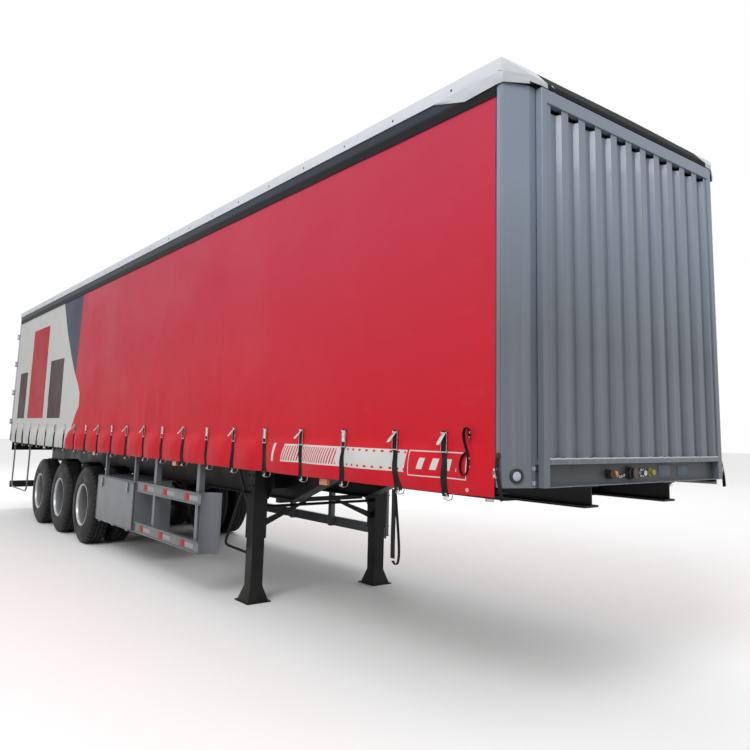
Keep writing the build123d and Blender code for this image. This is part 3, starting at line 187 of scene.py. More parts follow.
bpy.ops.mesh.primitive_plane_add(size=160, location=(0, 0, -0.002))
floor = bpy.context.object
floor.name = "floor"
bpy.ops.object.transform_apply()
floor_white, at = begin_finish("floor_white")
seen = at.make("LightPath", {}, {}, camera_ray)
shown = seen.math("MAXIMUM", seen, at.make("LightPath", {}, {}, glossy_ray))
pale = at.noise(0.6, 2).mix((0.92, 0.92, 0.92), (0.95, 0.95, 0.95))
end_finish(at, shown.mix((0.50, 0.50, 0.50), pale), 0.9)
floor.data.materials.append(floor_white)

lamp_aim = Vector((0, 0, 2))
# columns: place, size, watts
for lamp_place, lamp_size, lamp_watts in (((11, -13, 13), 9, 1700), ((-14, 10, 11), 8, 800)):
    bpy.ops.object.light_add(type="AREA", location=lamp_place)
    lamp = bpy.context.object
    assign(lamp.data, size=lamp_size, energy=lamp_watts)
    lamp.rotation_euler = (lamp_aim - Vector(lamp_place)).to_track_quat("-Z", "Y").to_euler()


# The chassis: two welded steel beams with a raised neck, channels across them, side rails, legs,
# axles and springs, bolted and welded together. Satin black enamel, dusty and duller low down.
def paint(finish, *nodes):
    """Gives carried-over nodes their finish."""
    for node in nodes:
        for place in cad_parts[node].material_slots:
            place.material = finish


chassis_paint, at = begin_finish("chassis_paint")
dust = at.noise(2.6, 6).ramp(0.42, 0.66) * at.axes()[2].ramp(1.5, 0.1, 0.25, 1.0)
soot = dust.mix((0.0055, 0.0055, 0.006), (0.024, 0.022, 0.020))
relief = at.noise(160, 3).bump(0.12)
end_finish(at, soot, dust.ramp(0, 1, 0.40, 0.78), relief, Specular_IOR_Level=0.25)
paint(chassis_paint, "main_beams", "cross_members", "side_rail_right", "side_rail_left")
paint(chassis_paint, "coupler_plate", "landing_legs", "landing_feet", "landing_braces", "air_tank")
paint(chassis_paint, "axles", "springs", "spring_hangers", "rear_bumper", "rear_sill")

# The deck: hardwood boards laid lengthwise and screwed down to the cross members. Seen from below
# and through the open doors, oiled, with dark gaps between the boards.
board_width = 0.19
deck_boards, at = begin_finish("deck_boards")
board = at.axes()[1] / board_width
tint = at.make("TexWhiteNoise", {"noise_dimensions": "1D"}, {"W": board.math("FLOOR", board)})
grain = at.stretched(0.6, 22, 22).noise(3.0, 6)
gap = ((board % 1.0) - 0.5).absolute() > 0.485
oiled = (grain * 0.6 + tint * 0.4).mix((0.10, 0.06, 0.035), (0.27, 0.17, 0.10))
relief = (grain * 0.3 - gap).bump(0.5, 0.002)
end_finish(at, gap.mix(oiled, (0.01, 0.008, 0.006)), grain.ramp(0.3, 0.7, 0.45, 0.7), relief)
paint(deck_boards, "deck")

# The kingpin: a forged pin, pressed and welded into its plate and turned bright where the towing
# vehicle's jaws close round it.
bare_steel, at = begin_finish("bare_steel")
turned = at.stretched(1, 1, 30).noise(40, 3)
silver = turned.mix((0.36, 0.37, 0.38), (0.58, 0.59, 0.60))
end_finish(at, silver, turned.ramp(0.3, 0.7, 0.22, 0.42), turned.bump(0.1, 0.0005), 1.0)
paint(bare_steel, "kingpin")


# The front wall: a ribbed sheet welded into a frame of bars, header and sill, in grey gloss enamel
# that rain has streaked with dust. It is painted paler and bluer towards the top as a sky reflection,
# and the sill's recess is painted dark as shade under its lip, with some dirt. A bead of pale sealant
# runs along the sill's lip, and small folded plates close the lower half of the ribs' upper ends.
def soften(width, *nodes):
    """Rounds the edges of carried-over nodes, as folded and welded steel has them."""
    for node in nodes:
        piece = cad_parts[node]
        assign(piece.modifiers.new("weld", "WELD"), merge_threshold=0.0002)
        flat = piece.modifiers.new("flat", "DECIMATE")
        assign(flat, decimate_type="DISSOLVE", angle_limit=math.radians(1))
        edge = piece.modifiers.new("edge", "BEVEL")
        assign(edge, width=width, segments=2, limit_method="ANGLE", angle_limit=math.radians(24))


def picked(piece):
    """Makes a piece the only chosen one, for the operators that follow."""
    bpy.ops.object.select_all(action="DESELECT")
    piece.select_set(True)
    bpy.context.view_layer.objects.active = piece
    return piece


def fresh(name, data):
    """A new chosen piece with this mesh or curve."""
    piece = bpy.data.objects.new(name, data)
    scene.collection.objects.link(piece)
    return picked(piece)


def reshape(piece, kind, **settings):
    """Adds a modifier to a chosen piece and applies it."""
    assign(piece.modifiers.new(kind, kind), **settings)
    bpy.ops.object.modifier_apply(modifier=kind)


def joined(pieces):
    """One piece made of several."""
    bpy.ops.object.select_all(action="DESELECT")
    for piece in pieces:
        piece.select_set(True)
    bpy.context.view_layer.objects.active = pieces[0]
    bpy.ops.object.transform_apply()
    bpy.ops.object.join()
    return bpy.context.object


def settle(piece, name, slot, finish, *nodes, body="trailer"):
    """Names a finished piece or a list of them as one, with its finish and the body it rides on."""
    piece = picked(joined(piece) if isinstance(piece, list) else piece)
    bpy.ops.object.transform_apply()
    bpy.ops.object.shade_smooth_by_angle(angle=math.radians(38))
    piece.name = name
    piece.data.name = name
    piece.data.materials.clear()
    piece.data.materials.append(finish)
    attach(piece, body)
    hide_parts(*nodes)
    return piece


def block(low, high, edge=0.002):
    """A block between two corners with its edges rounded."""
    low, high = Vector(low), Vector(high)
    bpy.ops.mesh.primitive_cube_add(size=1, location=(low + high) / 2)
    piece = bpy.context.object
    piece.scale = [abs(side) for side in high - low]
    bpy.ops.object.transform_apply()
    reshape(piece, "BEVEL", width=edge, segments=2)
    return piece


def spun(profile, place, axis, steps=28, closed=False):
    """Spins a profile, whose columns are distance along the axis and radius, into a turned piece."""
    form = bpy.data.meshes.new("spun")
    links = [(index, index + 1) for index in range(len(profile) - 1)]
    if closed:
        links.append((len(profile) - 1, 0))
    form.from_pydata([(along, 0, radius) for along, radius in profile], links, [])
    piece = fresh("spun", form)
    bpy.ops.object.mode_set(mode="EDIT")
    bpy.ops.mesh.select_all(action="SELECT")
    bpy.ops.mesh.spin(steps=steps, angle=2 * math.pi, center=(0, 0, 0), axis=(1, 0, 0))
    bpy.ops.mesh.select_all(action="SELECT")
    bpy.ops.mesh.remove_doubles(threshold=0.00005)
    bpy.ops.mesh.normals_make_consistent(inside=False)
    bpy.ops.object.mode_set(mode="OBJECT")
    turn = Vector((1, 0, 0)).rotation_difference(Vector(axis)).to_matrix().to_4x4()
    piece.matrix_world = Matrix.Translation(place) @ turn
    bpy.ops.object.transform_apply()
    return piece


def thickened(piece, thick):
    """Gives a sheet its thickness, half to each side."""
    reshape(picked(piece), "SOLIDIFY", thickness=thick, offset=0)
    return piece


def ribbon(points, width, across, thick=0.0022):
    """A flat strap laid through points, as wide along the across direction."""
    reach = Vector(across).normalized() * width / 2
    corners = [Vector(point) + side * reach for point in points for side in (-1, 1)]
    quads = [(2 * step, 2 * step + 1, 2 * step + 3, 2 * step + 2) for step in range(len(points) - 1)]
    form = bpy.data.meshes.new("ribbon")
    form.from_pydata(corners, [], quads)
    piece = fresh("ribbon", form)
    reshape(piece, "SUBSURF", levels=2, render_levels=2, boundary_smooth="PRESERVE_CORNERS")
    return thickened(piece, thick)


sill_face, sill_front = 6.75, 6.797
lip_bottom, lip_top = 1.504, 1.536
grey_enamel, at = begin_finish("grey_enamel")
x, y, z = at.axes()
streak = at.stretched(13, 13, 0.32).noise(1.0, 5).ramp(0.50, 0.74)
film = streak * z.ramp(3.7, 1.4, 0.25, 0.75)
enamel = at.noise(1.1, 3).mix((0.113, 0.131, 0.156), (0.132, 0.151, 0.179))
# Painted reflection: the enamel turns paler and bluer towards the top, standing in for the sky it reflects.
painted_sky_top = z.ramp(2.25, 3.2).mix(enamel, (0.198, 0.240, 0.310))
peel = at.noise(60, 2).bump(0.04, 0.002)
dusted = (film * 0.7).mix(painted_sky_top, (0.215, 0.235, 0.26))
# Painted shade with some dirt: the sill's recess is darkened, most just below the lip that shades it.
recess = x.within(6.70, 6.756) * z.within(1.35, lip_bottom) * (y.absolute() < 1.04)
shaded = (recess * z.ramp(1.40, 1.50, 0.55, 0.92)).mix(dusted, (0.012, 0.012, 0.013))
end_finish(at, shaded, film.ramp(0, 1, 0.22, 0.5) + recess * 0.3, peel, Coat_Weight=0.2)
paint(grey_enamel, "front_frame", "front_sheet", "front_post_right", "front_post_left")
soften(0.003, "front_frame", "front_post_right", "front_post_left")

bead_half, bead_radius, bead_steps = 0.97, 0.006, 260
bead_line = [(-bead_half, 0.0)]
for step in range(bead_steps + 1):
    bead_line.append((-bead_half + 2 * bead_half * step / bead_steps, bead_radius))
bead_line.append((bead_half, 0.0))
bead = spun(bead_line, (sill_front, 0, lip_top), (0, 1, 0), 10)
for vertex in bead.data.vertices:
    push = noise.noise(Vector((vertex.co.y * 23, 0, 4))) * 0.0035
    vertex.co.z += push
    vertex.co.x = sill_front + (vertex.co.x - sill_front) * (0.45 + 60 * abs(push))
sealant, at = begin_finish("sealant")
putty = at.noise(30).mix((0.36, 0.40, 0.46), (0.55, 0.58, 0.62))
end_finish(at, putty, 0.55, at.noise(180).bump(0.3))
settle(bead, "sill_bead", "body_grey", sealant)

rib_count, rib_pitch, plate_z, plate_height = 11, 0.175, 3.6415, 0.034
half_fold = ((6.7885, 0.0535), (6.7575, 0.0365), (6.7555, 0.030))
plates = []
for index in range(rib_count):
    middle = (index - rib_count // 2) * rib_pitch
    fold = [(x, middle - half, plate_z) for x, half in half_fold]
    fold += [(x, middle + half, plate_z) for x, half in reversed(half_fold)]
    plates.append(ribbon(fold, plate_height, (0, 0, 1), 0.0025))
settle(plates, "rib_plates", "body_grey", grey_enamel)


# The fittings on the sill: an air coupling with its orange cap, a cable socket with a brown lid on
# a short chain, a plain fitting and a small yellow coupling, all screwed to the set-back face.
# Two blank blue-grey plates are riveted beside them.
def moulded(name, dark, pale, rough):
    """A moulded or painted finish, a little cloudy."""
    finish, at = begin_finish(name)
    cloud = at.noise(26, 4)
    relief = at.noise(240).bump(0.1, 0.0005)
    end_finish(at, cloud.mix(dark, pale), cloud.ramp(0.3, 0.7, rough, rough + 0.15), relief)
    return finish


def ring(major, minor, place, turn, around):
    """A round wire ring."""
    bpy.ops.mesh.primitive_torus_add(
        major_radius=major, minor_radius=minor, major_segments=around, minor_segments=8,
        location=place, rotation=turn,
    )
    return bpy.context.object


black_rubber = moulded("black_rubber", (0.006, 0.006, 0.007), (0.015, 0.0145, 0.0145), 0.5)
orange_cap = moulded("orange_cap", (0.55, 0.14, 0.02), (0.75, 0.24, 0.04), 0.35)
brown_lid = moulded("brown_lid", (0.045, 0.020, 0.014), (0.085, 0.038, 0.028), 0.45)
yellow_cap = moulded("yellow_cap", (0.26, 0.20, 0.03), (0.42, 0.34, 0.06), 0.35)
plate_blue = moulded("plate_blue", (0.060, 0.092, 0.135), (0.095, 0.130, 0.172), 0.4)
ahead = (1, 0, 0)
coupling_body = [
    (0, 0), (0, 0.032), (0.008, 0.032), (0.009, 0.02), (0.018, 0.019), (0.02, 0.027), (0.04, 0.027),
    (0.044, 0.023), (0.044, 0),
]
socket_body = [
    (0, 0), (0, 0.042), (0.007, 0.042), (0.009, 0.036), (0.03, 0.035), (0.034, 0.031), (0.034, 0),
]
small_body = [
    (0, 0), (0, 0.026), (0.007, 0.026), (0.008, 0.015), (0.024, 0.015), (0.026, 0.019), (0.038, 0.019),
    (0.04, 0.016), (0.04, 0),
]
cap_body = [(0, 0), (0, 0.012), (0.016, 0.019), (0.024, 0.019), (0.027, 0.014), (0.027, 0)]
lid_body = [(0, 0), (0, 0.04), (0.004, 0.041), (0.008, 0.038), (0.009, 0)]
pin_body = [(0, 0), (0, 0.006), (0.012, 0.006), (0.014, 0.004), (0.014, 0)]
blacks = [
    spun(coupling_body, (sill_face, -0.348, 1.436), ahead),
    spun(socket_body, (sill_face, -0.119, 1.440), ahead),
]
settle(blacks, "coupling_blacks", "coupling_metal", black_rubber, "front_couplings")
cap = spun(cap_body, (sill_face + 0.028, -0.329, 1.438), (0.25, 1, 0.1))
settle(cap, "coupling_cap", "coupling_metal", orange_cap)
lid = spun(lid_body, (sill_face + 0.036, -0.098, 1.439), (1, 0.22, 0))
settle(lid, "socket_lid", "coupling_metal", brown_lid)
fitting_y, fitting_z, pin_circle = 0.02, 1.438, 0.028
fitting = [spun(small_body, (sill_face, fitting_y, fitting_z), ahead, 24)]
for pin in range(6):
    turn = math.radians(60 * pin)
    pin_y, pin_z = fitting_y + pin_circle * math.cos(turn), fitting_z + pin_circle * math.sin(turn)
    fitting.append(spun(pin_body, (sill_face, pin_y, pin_z), ahead, 8))
last_link = 8
for link in range(last_link + 1):
    hang = 0.012 * math.sin(math.pi * link / last_link)
    place = (sill_face + 0.012, -0.288 + 0.0125 * link, 1.43 - hang)
    fitting.append(ring(0.0075, 0.0022, place, (math.pi / 2 * (link % 2), math.pi / 2, 0.2), 16))
settle(fitting, "sill_fittings", "coupling_metal", bare_steel)
yellow = spun(small_body, (sill_face, 0.121, 1.440), ahead, 24)
settle(yellow, "coupling_yellow", "coupling_metal", yellow_cap)
plates = []
plate_z, rivet_in = 1.442, 0.008
# columns: middle along y, half length, half height
for middle, half_length, half_height in ((0.306, 0.075, 0.045), (0.542, 0.068, 0.036)):
    plates.append(block(
        (sill_face, middle - half_length, plate_z - half_height),
        (sill_face + 0.003, middle + half_length, plate_z + half_height), 0.001,
    ))
    for way_y, way_z in ((-1, -1), (-1, 1), (1, -1), (1, 1)):
        rivet_y = middle + way_y * (half_length - rivet_in)
        rivet_z = plate_z + way_z * (half_height - rivet_in)
        place = (sill_face + 0.002, rivet_y, rivet_z)
        plates.append(spun([(0, 0.004), (0.0025, 0.0035), (0.0035, 0)], place, ahead, 10))
settle(plates, "sill_plates", "body_grey", plate_blue)


# The corner posts: folded sections with a slanted face. Each has a flat strip along its rear edge,
# a rubber seal where the curtain ends, a clear round lamp in a rubber ring, bolts at its foot, and
# a small plated ratchet with a short strap end.
def wire(points, radius, steps=4):
    """A round bar bent smoothly through points."""
    path = bpy.data.curves.new("wire", "CURVE")
    assign(path, dimensions="3D", bevel_depth=radius, bevel_resolution=2)
    assign(path, resolution_u=steps, use_fill_caps=True)
    line = path.splines.new("NURBS")
    line.points.add(len(points) - 1)
    for point, place in zip(line.points, points):
        point.co = (*place, 1)
    assign(line, order_u=3, use_endpoint_u=True)
    fresh("wire", path)
    bpy.ops.object.convert(target="MESH")
    return bpy.context.object


def bolt(place, axis, radius=0.011):
    """A hexagon bolt head on its washer."""
    washer = spun([(0, 0), (0, 1.45 * radius), (0.002, 1.4 * radius), (0.002, 0)], place, axis, 16)
    seat, shoulder, top = 0.0018, 0.0018 + 0.6 * radius, 0.0022 + 0.7 * radius
    head = [(seat, 0), (seat, radius), (shoulder, radius), (top, 0.8 * radius), (top, 0)]
    return joined([washer, spun(head, place, axis, 6)])


def cross_pin(half, radius, place):
    """A round pin along x with flat ends."""
    return spun([(-half, 0), (-half, radius), (half, radius), (half, 0)], place, (1, 0, 0), 12)


clear_lens, at = begin_finish("clear_lens")
rings = (at.axes()[2] * 420.0).sine()
glass = at.noise(60).mix((0.20, 0.26, 0.36), (0.52, 0.58, 0.66))
end_finish(at, glass, 0.12, rings.bump(0.3, 0.001), Coat_Weight=0.6)
webbing_black, at = begin_finish("webbing_black")
x, y, z = at.axes()
weave = (z * 1500.0).sine() * (x * 1100.0).sine()
dusty = at.noise(9, 5).ramp(0.45, 0.75)
fibre = dusty.mix((0.0045, 0.0045, 0.005), (0.017, 0.016, 0.015))
rough = weave.ramp(-1, 1, 0.6, 0.8)
end_finish(at, fibre, rough, weave.bump(0.25, 0.0004), Specular_IOR_Level=0.2)
chrome, at = begin_finish("chrome")
tarnish = at.noise(45, 5)
plating = tarnish.mix((0.46, 0.46, 0.45), (0.78, 0.78, 0.77))
end_finish(at, plating, tarnish.ramp(0.35, 0.75, 0.12, 0.42), tarnish.bump(0.08, 0.0005), 1.0)
slant = Vector((0.169, 0.064, 0)).normalized()
ring_profile = [(0, 0.042), (0.009, 0.042), (0.013, 0.037), (0.011, 0.0285), (0.0, 0.028)]
lens_profile = [(0.002, 0.0285), (0.007, 0.0275), (0.011, 0.022), (0.014, 0.012), (0.015, 0)]
stop_profile = [(0, 0), (0, 0.016), (0.012, 0.015), (0.016, 0.009), (0.016, 0)]
tail_line = (
    (6.662, 1.262, 1.540), (6.664, 1.268, 1.505), (6.668, 1.272, 1.47), (6.676, 1.271, 1.43),
    (6.684, 1.266, 1.385), (6.690, 1.260, 1.345), (6.694, 1.256, 1.305),
)
post_foot = 1.376
strips, seals, grommets, lenses, bolts, ratchets, tails = [], [], [], [], [], [], []
for side in (-1, 1):
    strips.append(block((6.645, side * 1.2495, post_foot), (6.676, side * 1.2535, 3.776), 0.0015))
    seals.append(block((6.6365, side * 1.244, post_foot), (6.6445, side * 1.2525, 3.70), 0.0025))
    seals.append(spun(stop_profile, (6.664, side * 1.2535, 1.552), (0, side, 0), 16))
    outward = Vector((slant.x, side * slant.y, 0))
    lamp_place = Vector((6.718, side * 1.1655, 1.44))
    grommets.append(spun(ring_profile, lamp_place, outward, 36, True))
    lenses.append(spun(lens_profile, lamp_place, outward, 36))
    for height in (1.402, 1.482):
        bolts.append(bolt((6.7492, side * 1.052, height), ahead))
    ratchets.append(block((6.640, side * 1.253, 1.425), (6.668, side * 1.257, 1.487), 0.0015))
    for edge in (6.640, 6.666):
        ratchets.append(block((edge, side * 1.256, 1.43), (edge + 0.003, side * 1.272, 1.482), 0.001))
    for height in (1.440, 1.472):
        ratchets.append(cross_pin(0.014, 0.005, (6.6545, side * 1.265, height)))
    tails.append(ribbon([(x, side * y, z) for x, y, z in tail_line], 0.026, (1, 0, 0.25)))
settle(strips, "post_strips", "body_grey", grey_enamel)
settle(seals, "post_seals", "rail_black", black_rubber)
settle(grommets, "lamp_rings", "rail_black", black_rubber)
settle(lenses, "corner_lenses", "lamp_white", clear_lens, "front_lamps")
settle(bolts, "post_bolts", "bare_steel", bare_steel)
settle(ratchets, "post_ratchets", "bare_steel", chrome)
settle(tails, "post_straps", "strap_black", webbing_black)

# The rear frame and its two framed doors, grey like the front. Zinc-plated lock rods, hinges and
# handles are bolted on, rubber lips close the gaps, and round lamps sit in the black panel below.
paint(grey_enamel, "rear_post_right", "rear_post_left", "rear_header", "door_right", "door_left")
zinc, at = begin_finish("zinc")
flake = at.make("TexVoronoi", {}, {"Vector": at, "Scale": 55.0})
spangle = flake.mix((0.30, 0.31, 0.32), (0.52, 0.53, 0.54))
end_finish(at, spangle, flake.ramp(0, 0.6, 0.30, 0.5), None, 1.0)
paint(zinc, "door_gear_right", "door_gear_left")
soften(0.003, "door_right", "door_left")
hands = ((-1, "right"), (1, "left"))
lip_rear, lip_ahead = -6.742, -6.716
# columns: inner y, low z, outer y, high z
lip_places = ((0.0035, 1.514, 0.0065, 3.63), (0.010, 3.632, 1.12, 3.6365), (0.010, 1.5035, 1.12, 1.5115))
for side, hand in hands:
    lips = []
    for inner, low, outer, high in lip_places:
        lips.append(block((lip_rear, side * inner, low), (lip_ahead, side * outer, high), 0.001))
    settle(lips, f"door_lips_{hand}", "rail_black", black_rubber, body=f"door_{hand}")
    heads = []
    for height in (1.72, 2.30, 2.88, 3.44):
        for inward in (1.075, 1.115):
            for step in (-0.016, 0.016):
                heads.append(bolt((-6.7595, side * inward, height + step), (-1, 0, 0), 0.007))
    settle(heads, f"hinge_bolts_{hand}", "bare_steel", zinc, body=f"door_{hand}")


def lens(name, dark, pale):
    """A moulded lamp lens with fine flutes."""
    finish, at = begin_finish(name)
    x, y, z = (axis * 600.0 for axis in at.axes())
    flutes = (y + x).sine() * z.sine()
    end_finish(at, at.noise(30).mix(dark, pale), 0.14, flutes.bump(0.35, 0.001), Coat_Weight=0.5)
    return finish


red_lens = lens("red_lens", (0.30, 0.004, 0.005), (0.52, 0.010, 0.012))
amber_lens = lens("amber_lens", (0.50, 0.11, 0.012), (0.72, 0.19, 0.02))
rear_face, lamp_z = -6.745, 1.245
tail_profile = [(0, 0.050), (0.012, 0.050), (0.018, 0.040), (0.021, 0.02), (0.022, 0)]
tail_ring = [(0, 0.060), (0.014, 0.060), (0.017, 0.055), (0.014, 0.0505), (0, 0.050)]
reds, ambers, rings = [], [], []
for side in (-1, 1):
    for place_y, group in ((1.09, ambers), (0.94, reds), (0.79, reds)):
        place = (rear_face, side * place_y, lamp_z)
        group.append(spun(tail_profile, place, (-1, 0, 0), 32))
        rings.append(spun(tail_ring, place, (-1, 0, 0), 32, True))
settle(reds, "tail_lenses_red", "lamp_red", red_lens, "rear_lamps")
settle(ambers, "tail_lenses_amber", "lamp_amber", amber_lens)
settle(rings, "tail_rings", "rail_black", black_rubber)
plate_white = moulded("plate_white", (0.55, 0.56, 0.57), (0.68, 0.69, 0.70), 0.3)
rear_plate = block((rear_face - 0.004, -0.26, 1.19), (rear_face, 0.26, 1.30), 0.0015)
settle(rear_plate, "rear_plate", "body_grey", plate_white)


# The roof cover: white coated cloth stretched over the arched bows, welded to side skirts and to a
# nose that slopes down to the front header, whose middle is black, while the rear end drops to the
# rear header. Piping and rivets run along each skirt, and a loose flap hangs over each front corner.
def sheeted(along, across, shape):
    """A cloth grid of so many squares, laid by a function of how far along and across a point is."""
    bpy.ops.mesh.primitive_grid_add(x_subdivisions=along, y_subdivisions=across, size=2)
    piece = bpy.context.object
    for vertex in piece.data.vertices:
        vertex.co = shape((vertex.co.x + 1) / 2, vertex.co.y)
    return piece


def as_cloth(piece, thick):
    """Gives a cloth its thickness, with its normals outward."""
    thickened(piece, thick)
    bpy.ops.object.mode_set(mode="EDIT")
    bpy.ops.mesh.select_all(action="SELECT")
    bpy.ops.mesh.normals_make_consistent(inside=False)
    bpy.ops.object.mode_set(mode="OBJECT")
    return piece


roof_rear, roof_break, roof_nose = -6.742, 6.69, 6.797
roof_half, nose_half = 1.2605, 1.03
roof_edge, nose_edge = 3.934, 3.815
skirt_foot, nose_foot = 3.842, 3.784
bow_first, bow_pitch = -6.0, 1.2
# shares of the cover: rear drop, start of the nose, end of the nose's slope, roof without skirts
tail_share, nose_share, slope_share, top_share = 0.0127, 0.94, 0.8, 0.86


def roof_point(along, across):
    """Where a point of the roof cover lies."""
    drop = max(0.0, 1 - along / tail_share)
    along = max(0.0, (along - tail_share) / (1 - tail_share))
    part = max(0.0, (along - nose_share) / (1 - nose_share))
    x = roof_rear + (roof_break - roof_rear) * min(1.0, along / nose_share)
    slope = min(1.0, part / slope_share)
    x += (roof_nose - roof_break) * slope
    half = roof_half + (nose_half - roof_half) * slope
    edge = roof_edge + (nose_edge - roof_edge) * slope
    foot = skirt_foot + (nose_foot - skirt_foot) * slope
    inward = min(1.0, abs(across) / top_share)
    y = math.copysign(half * inward, across)
    crown = 0.022 * (1 - slope) * (1 - inward ** 2)
    swing = math.sin(math.pi * (x - bow_first) / bow_pitch) ** 2
    sag = 0.012 * swing * (1 - inward ** 4) * (1 - slope)
    ripple = 0.003 * noise.noise(Vector((x * 1.3, across * 2.2, 1.7)))
    crumple = 0.009 * noise.noise(Vector((x * 7.0, across * 9.0, 4.3)))
    crumple *= max(0.0, 1 - abs(x - 6.55) / 0.3)
    z = edge + crown - sag + ripple * (1 - inward ** 6) + crumple * inward ** 2 * (1 - slope)
    lip = max(0.0, (part - slope_share) / (1 - slope_share))
    z += (foot - z) * lip
    fall = max(0.0, (abs(across) - top_share) / (1 - top_share))
    z += (foot - z) * fall
    z += (foot - z) * drop
    x -= 0.001 * math.sin(y * 11.0) * math.sin(math.pi * drop)
    y += math.copysign(0.0016 * math.sin(x * 9.0) * math.sin(math.pi * fall), across)
    return Vector((x, y, z))


white_cloth, at = begin_finish("white_cloth")
x, y, z = at.axes()
scrim = (x * 1400.0).sine() * (y * 1400.0 + z * 1400.0).sine()
grime = at.stretched(0.5, 1.5, 4).noise(2.2, 6).ramp(0.45, 0.8)
chalk = grime.mix((0.60, 0.63, 0.68), (0.53, 0.55, 0.58))
nose_black = (x > 6.703) * (y.absolute() < 0.94 + at.noise(9) * 0.04)
flap_shade = (z < 3.8405) * 0.35
shell = nose_black.mix(flap_shade.mix(chalk, (0.34, 0.35, 0.36)), (0.006, 0.007, 0.009))
folds = at.stretched(0.8, 2, 2).noise(5, 4) * 0.5 + scrim * 0.04
matt = grime.ramp(0, 1, 0.45, 0.62) + nose_black * 0.35
end_finish(at, shell, matt, folds.bump(0.3, 0.004), Specular_IOR_Level=0.3)
cover = as_cloth(sheeted(236, 60, roof_point), 0.0016)
settle(cover, "roof_cover", "roof_white", white_cloth, "roof_tarp")
# columns: share of the way along, x, y, top, bottom
flap_line = (
    (0.0, 6.10, 1.2645, 3.838, 3.832), (0.3, 6.38, 1.2665, 3.840, 3.752),
    (0.62, 6.66, 1.2660, 3.842, 3.764), (0.70, 6.70, 1.2540, 3.838, 3.768),
    (1.0, 6.772, 1.092, 3.806, 3.782),
)
seam_line = ((-6.74, 1.2625, 3.8415), (0, 1.2628, 3.8415), (6.66, 1.2628, 3.8425))
nose_seam = (
    (6.66, 1.2628, 3.8435), (6.69, 1.262, 3.868), (6.716, 1.20, 3.850), (6.742, 1.14, 3.822),
    (6.766, 1.09, 3.806),
)
rivet_head = [(0, 0), (0, 0.009), (0.002, 0.0085), (0.004, 0.005), (0.0045, 0)]
pipings, rivets = [], []
for side, hand in hands:
    def flap_point(along, across, side=side):
        for start, end in zip(flap_line, flap_line[1:]):
            if along <= end[0] + 1e-6:
                break
        share = (along - start[0]) / (end[0] - start[0])
        x, y, top, bottom = (low + (high - low) * share for low, high in zip(start[1:], end[1:]))
        hang = (1 - across) / 2
        swell = 0.004 * math.sin(math.pi * hang) * (1 + math.sin(along * 21))
        return Vector((x, side * (y + swell), top + (bottom - top) * hang))
    flap = as_cloth(sheeted(60, 10, flap_point), 0.0014)
    settle(flap, f"corner_flap_{hand}", "roof_white", white_cloth)
    for line, steps in ((seam_line, 4), (nose_seam, 8)):
        pipings.append(wire([(x, side * y, z) for x, y, z in line], 0.0035, steps))
    for rivet in range(21):
        rivets.append(spun(rivet_head, (6.249 - 0.61 * rivet, side * 1.2612, 3.879), (0, side, 0), 12))
settle(pipings, "roof_piping", "roof_white", white_cloth)
settle(rivets, "roof_rivets", "rail_black", black_rubber)
hook_line = [
    (6.785, -0.94, 3.80), (6.795, -0.925, 3.815), (6.795, -0.90, 3.812), (6.79, -0.885, 3.795),
    (6.785, -0.88, 3.785),
]
hook = [block((6.775, -0.985, 3.786), (6.797, -0.93, 3.803)), wire(hook_line, 0.004)]
settle(hook, "header_hook", "bare_steel", chrome)
paint(bare_steel, "roof_bows")

# The roof rails: long sections that the curtains' rollers run in, each behind a hanging valance of
# black coated cloth, which turns under below. Its top half is painted a lighter bluish black as a sky
# reflection, and its lower half near black as shade.
paint(black_rubber, "roof_rail_right", "roof_rail_left")
valance_cloth, at = begin_finish("valance_cloth")
# Painted reflection and shade: the top half gets a lighter bluish black as sky sheen, the lower half a
# deeper black as shade.
sheen_upper_half = (at.axes()[2] + at.stretched(1, 0, 0).noise(3) * 0.012).ramp(3.762, 3.784)
painted_sky_sheen_blue = at.noise(7, 5).mix((0.018, 0.023, 0.034), (0.029, 0.035, 0.047))
sheen_and_shade_black = sheen_upper_half.mix((0.005, 0.0055, 0.007), painted_sky_sheen_blue)
woven = at.noise(300).bump(0.12, 0.0005)
end_finish(at, sheen_and_shade_black, sheen_upper_half.ramp(0, 1, 0.6, 0.48), woven, Specular_IOR_Level=0.2)
valance_rear, valance_length = -6.64, 13.282
valance_top, valance_drop, valance_plane = 3.8405, 0.142, 1.2572
for side, hand in hands:
    def valance_point(along, across, side=side):
        x = valance_rear + valance_length * along
        low = (1 - across) / 2
        flutter = 0.0016 * noise.noise(Vector((x * 2.1, low * 2, 3)))
        wave = 0.0012 * math.sin(x * 5.3) * low + flutter * low
        belly = 0.0028 * math.sin(math.pi * min(1.0, low * 1.1))
        loose = 0.052 * low * max(0.0, (x - 6.49) / 0.152) ** 1.5 if side > 0 else 0.0
        out = valance_plane + belly + abs(wave) + loose
        return Vector((x, side * out, valance_top - valance_drop * low + wave))
    valance = as_cloth(sheeted(300, 12, valance_point), 0.0012)
    settle(valance, f"valance_{hand}", "rail_black", valance_cloth)

# The curtains: one piece of red coated cloth each side, hung on rollers in the roof rail and pulled
# down by straps, so that the hem swells between them and creases fan from each buckle. The rear end
# is printed white with plain bars, a white hatched band runs near the front, and the inside is pale.
strap_places = [6.215] + [5.735 - 0.595 * index for index in range(21)]
curtain_plane = 1.2475
hem_bottom, curtain_top = 1.315, 3.756
curtain_rear, curtain_front = -6.638, 6.634
door_reach = -5.2  # behind this the opened doors lie close to the curtains


